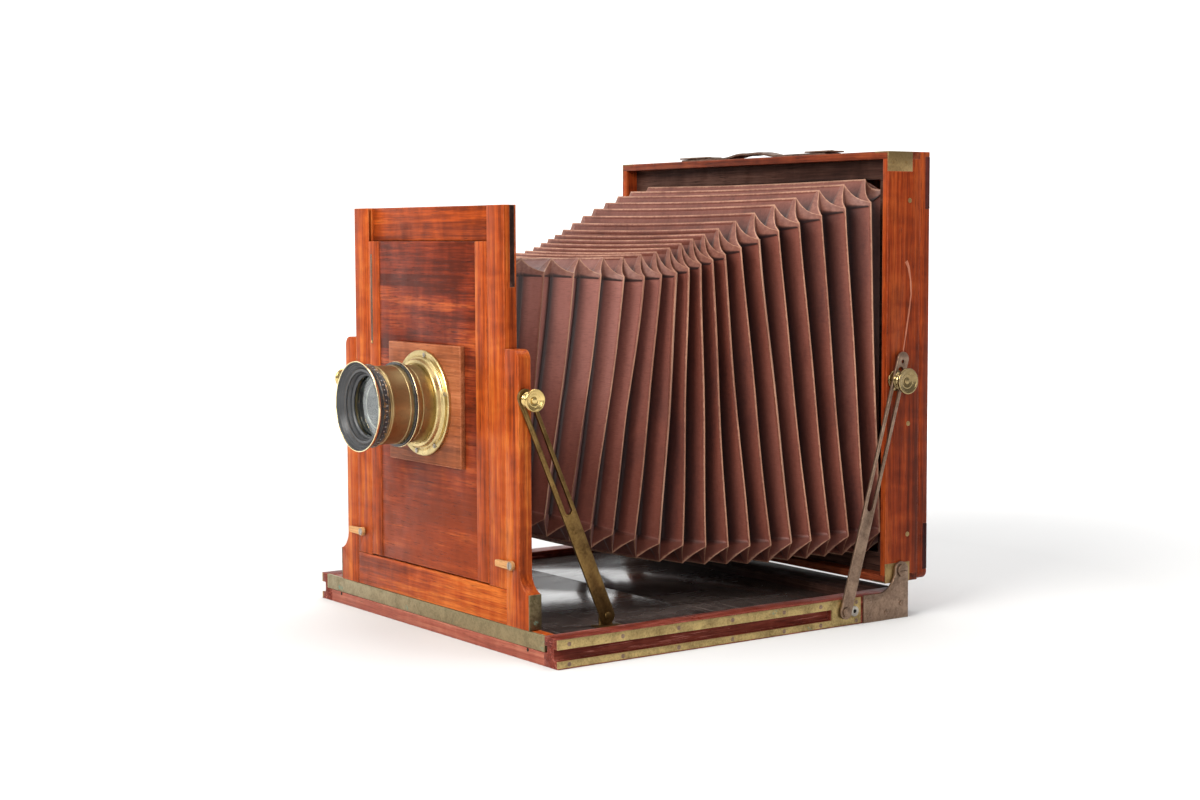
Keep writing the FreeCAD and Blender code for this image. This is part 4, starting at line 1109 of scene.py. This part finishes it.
def build_box_scratch():
    """A curved gouge through the polish of the right side of the box."""
    low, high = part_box("box_sides")
    depth = high.y - low.y
    track = ((0.58, 291, 1.6), (0.66, 286, 1.2), (0.72, 276, 0.8), (0.74, 264, 0.7), (0.68, 250, 0.8),
             (0.60, 235, 0.7), (0.53, 222, 0.5), (0.47, 212, 0.2))  # share of depth, height, half width
    line = [(Vector((low.y + share * depth, z * MM)), half * MM) for share, z, half in track]
    bm = bmesh.new()
    for (first, wide), (second, narrow) in zip(line, line[1:]):
        run = (second - first).normalized()
        side = Vector((-run.y, run.x))
        ends = (first + side * wide, second + side * narrow, second - side * narrow, first - side * wide)
        add_prism(bm, [tuple(e) for e in ends], -0.2 * MM, 0.26 * MM,
                  lambda u, v, w: Vector((high.x + w, u, v)))
    settle(from_bmesh("box_side_scratch", bm, BARE_WOOD), "rear_box", SLOT_OF["box_sides"])


def build_bed_trim():
    """Eyelets beside the rear struts' feet with painted-shade discs in their holes, rear studs, a keyhole
    drawn as a painted-shade disc, and dark pins in the front rail.
    """
    low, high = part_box("side_plates")
    bracket_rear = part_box("rear_brackets")[1].y
    stud = rounded([(0, 0.01), (0, 2.6), (1.6, 2.6), (2.2, 1.8), (2.2, 0.01)], 0.3)
    for name, side in (("right", 1), ("left", -1)):
        foot = (side * high.x, high.y - 7 * MM, (low.z + high.z) / 2 - 0.4 * MM)
        disc("bed_eyelet_" + name, foot, (side, 0, 0), 4.3, 1.5, 0.8, STEEL, "bed", "steel_screw")
        # painted shade: a near-black disc in the eyelet's hole
        disc("bed_eyelet_hole_shade_" + name, foot, (side, 0, 0), 1.55, 0.01, 0.25, VOID, "bed", "black_lacquer")
        place = (side * 176 * MM, bracket_rear, 11.7 * MM)
        settle(lathe("bed_rear_stud_" + name, stud, place, (0, 1, 0), BRONZED, 40), "bed", "bronzed_brass")
    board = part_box("sliding_board")[1]
    keyhole = (17.7 * MM, board.y - 3 * MM, board.z)
    # painted shade: a near-black disc for the keyhole
    disc("board_keyhole_shade", keyhole, (0, 0, 1), 1.9, 0.01, 0.2, VOID, "focus_slide", "black_lacquer")
    rail_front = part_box("lower_cross_rails")[0].y
    pins = [((x * MM, rail_front, 8.6 * MM), (0, -1, 0), 1.3, 0.25) for x in (-147, 143)]
    screws("front_rail_pins", pins, "bed", "black_lacquer", VOID)


def build_panel_trim():
    """The slotted brass strip let into the left cleat, its dark slot and its lower pin."""
    low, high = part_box("panel_cleats")
    x, front, top, foot = -86.5 * MM, low.y, high.z - 12 * MM, high.z - 81 * MM
    inner, outer = 0.45 * MM, 1.3 * MM

    def bars(name, outlines, height, material, slot):
        bm = bmesh.new()
        for outline in outlines:
            add_prism(bm, outline, -0.2 * MM, height, lambda u, v, w: Vector((x + u, front - w, v)))
        settle(from_bmesh(name, bm, material), "lens_panel", slot)

    frame_bars = [oblong(-outer, -inner, foot, top), oblong(inner, outer, foot, top),
                  oblong(-outer, outer, foot - 2.5 * MM, foot), oblong(-outer, outer, top, top + 1.5 * MM)]
    bars("panel_slot_plate", frame_bars, 0.45 * MM, BRONZED, "bronzed_brass")
    bars("panel_slot_shadow", [oblong(-inner, inner, foot, top)], 0.28 * MM, VOID, "black_lacquer")
    pin = ((x, front - 0.2 * MM, foot - 1.2 * MM), (0, -1, 0), 1, 0.5)
    screws("panel_slot_pin", [pin], "lens_panel", "brass", NUT_BRASS)


def build_groove_shadows():
    """Near-black strips in the grooves in the rising frame's outer edges: painted shade."""
    low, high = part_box("frame_stiles")
    face, front = high.x - 3.9 * MM, low.y + 5.35 * MM
    outline = oblong(front, front + 4.1 * MM, 275.3 * MM, high.z - 0.3 * MM)
    bm = bmesh.new()
    for side in (-1, 1):
        add_prism(bm, outline, 0, 3.4 * MM, lambda u, v, w: Vector((side * (face - w), u, v)))
    settle(from_bmesh("frame_groove_shadows", bm, DULL_BLACK), "rising_frame", SLOT_OF["bellows_front_frame"])


def build_foot_screws():
    """Two small screws in each brass foot plate."""
    low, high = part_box("foot_plates")
    middle, inset = (low.y + high.y) / 2, 5 * MM
    heads = [((high.x, middle, z), (1, 0, 0), 1.5, 0.3) for z in (low.z + inset, high.z - inset)]
    screws("foot_plate_screws", mirrored(heads), "front_standard", "brass", GREEN_BRASS)


# ---------------- build
add_camera()
add_world()
add_floor()
for light in LIGHTS:
    add_light(*light)
scene.view_settings.view_transform = "Standard"

ease_all()
for button in ("turn_button_left", "turn_button_right"):
    turn_button(button)
build_lens()
for side in ("left", "right"):
    thumb_nut("front_nut_" + side, NUT_BRASS)
    thumb_nut("rear_nut_" + side, BRONZED_NUT)
build_bellows()
build_handle()
build_box_screws()
build_box_scratch()
build_bed_trim()
build_panel_trim()
build_groove_shadows()
build_foot_screws()
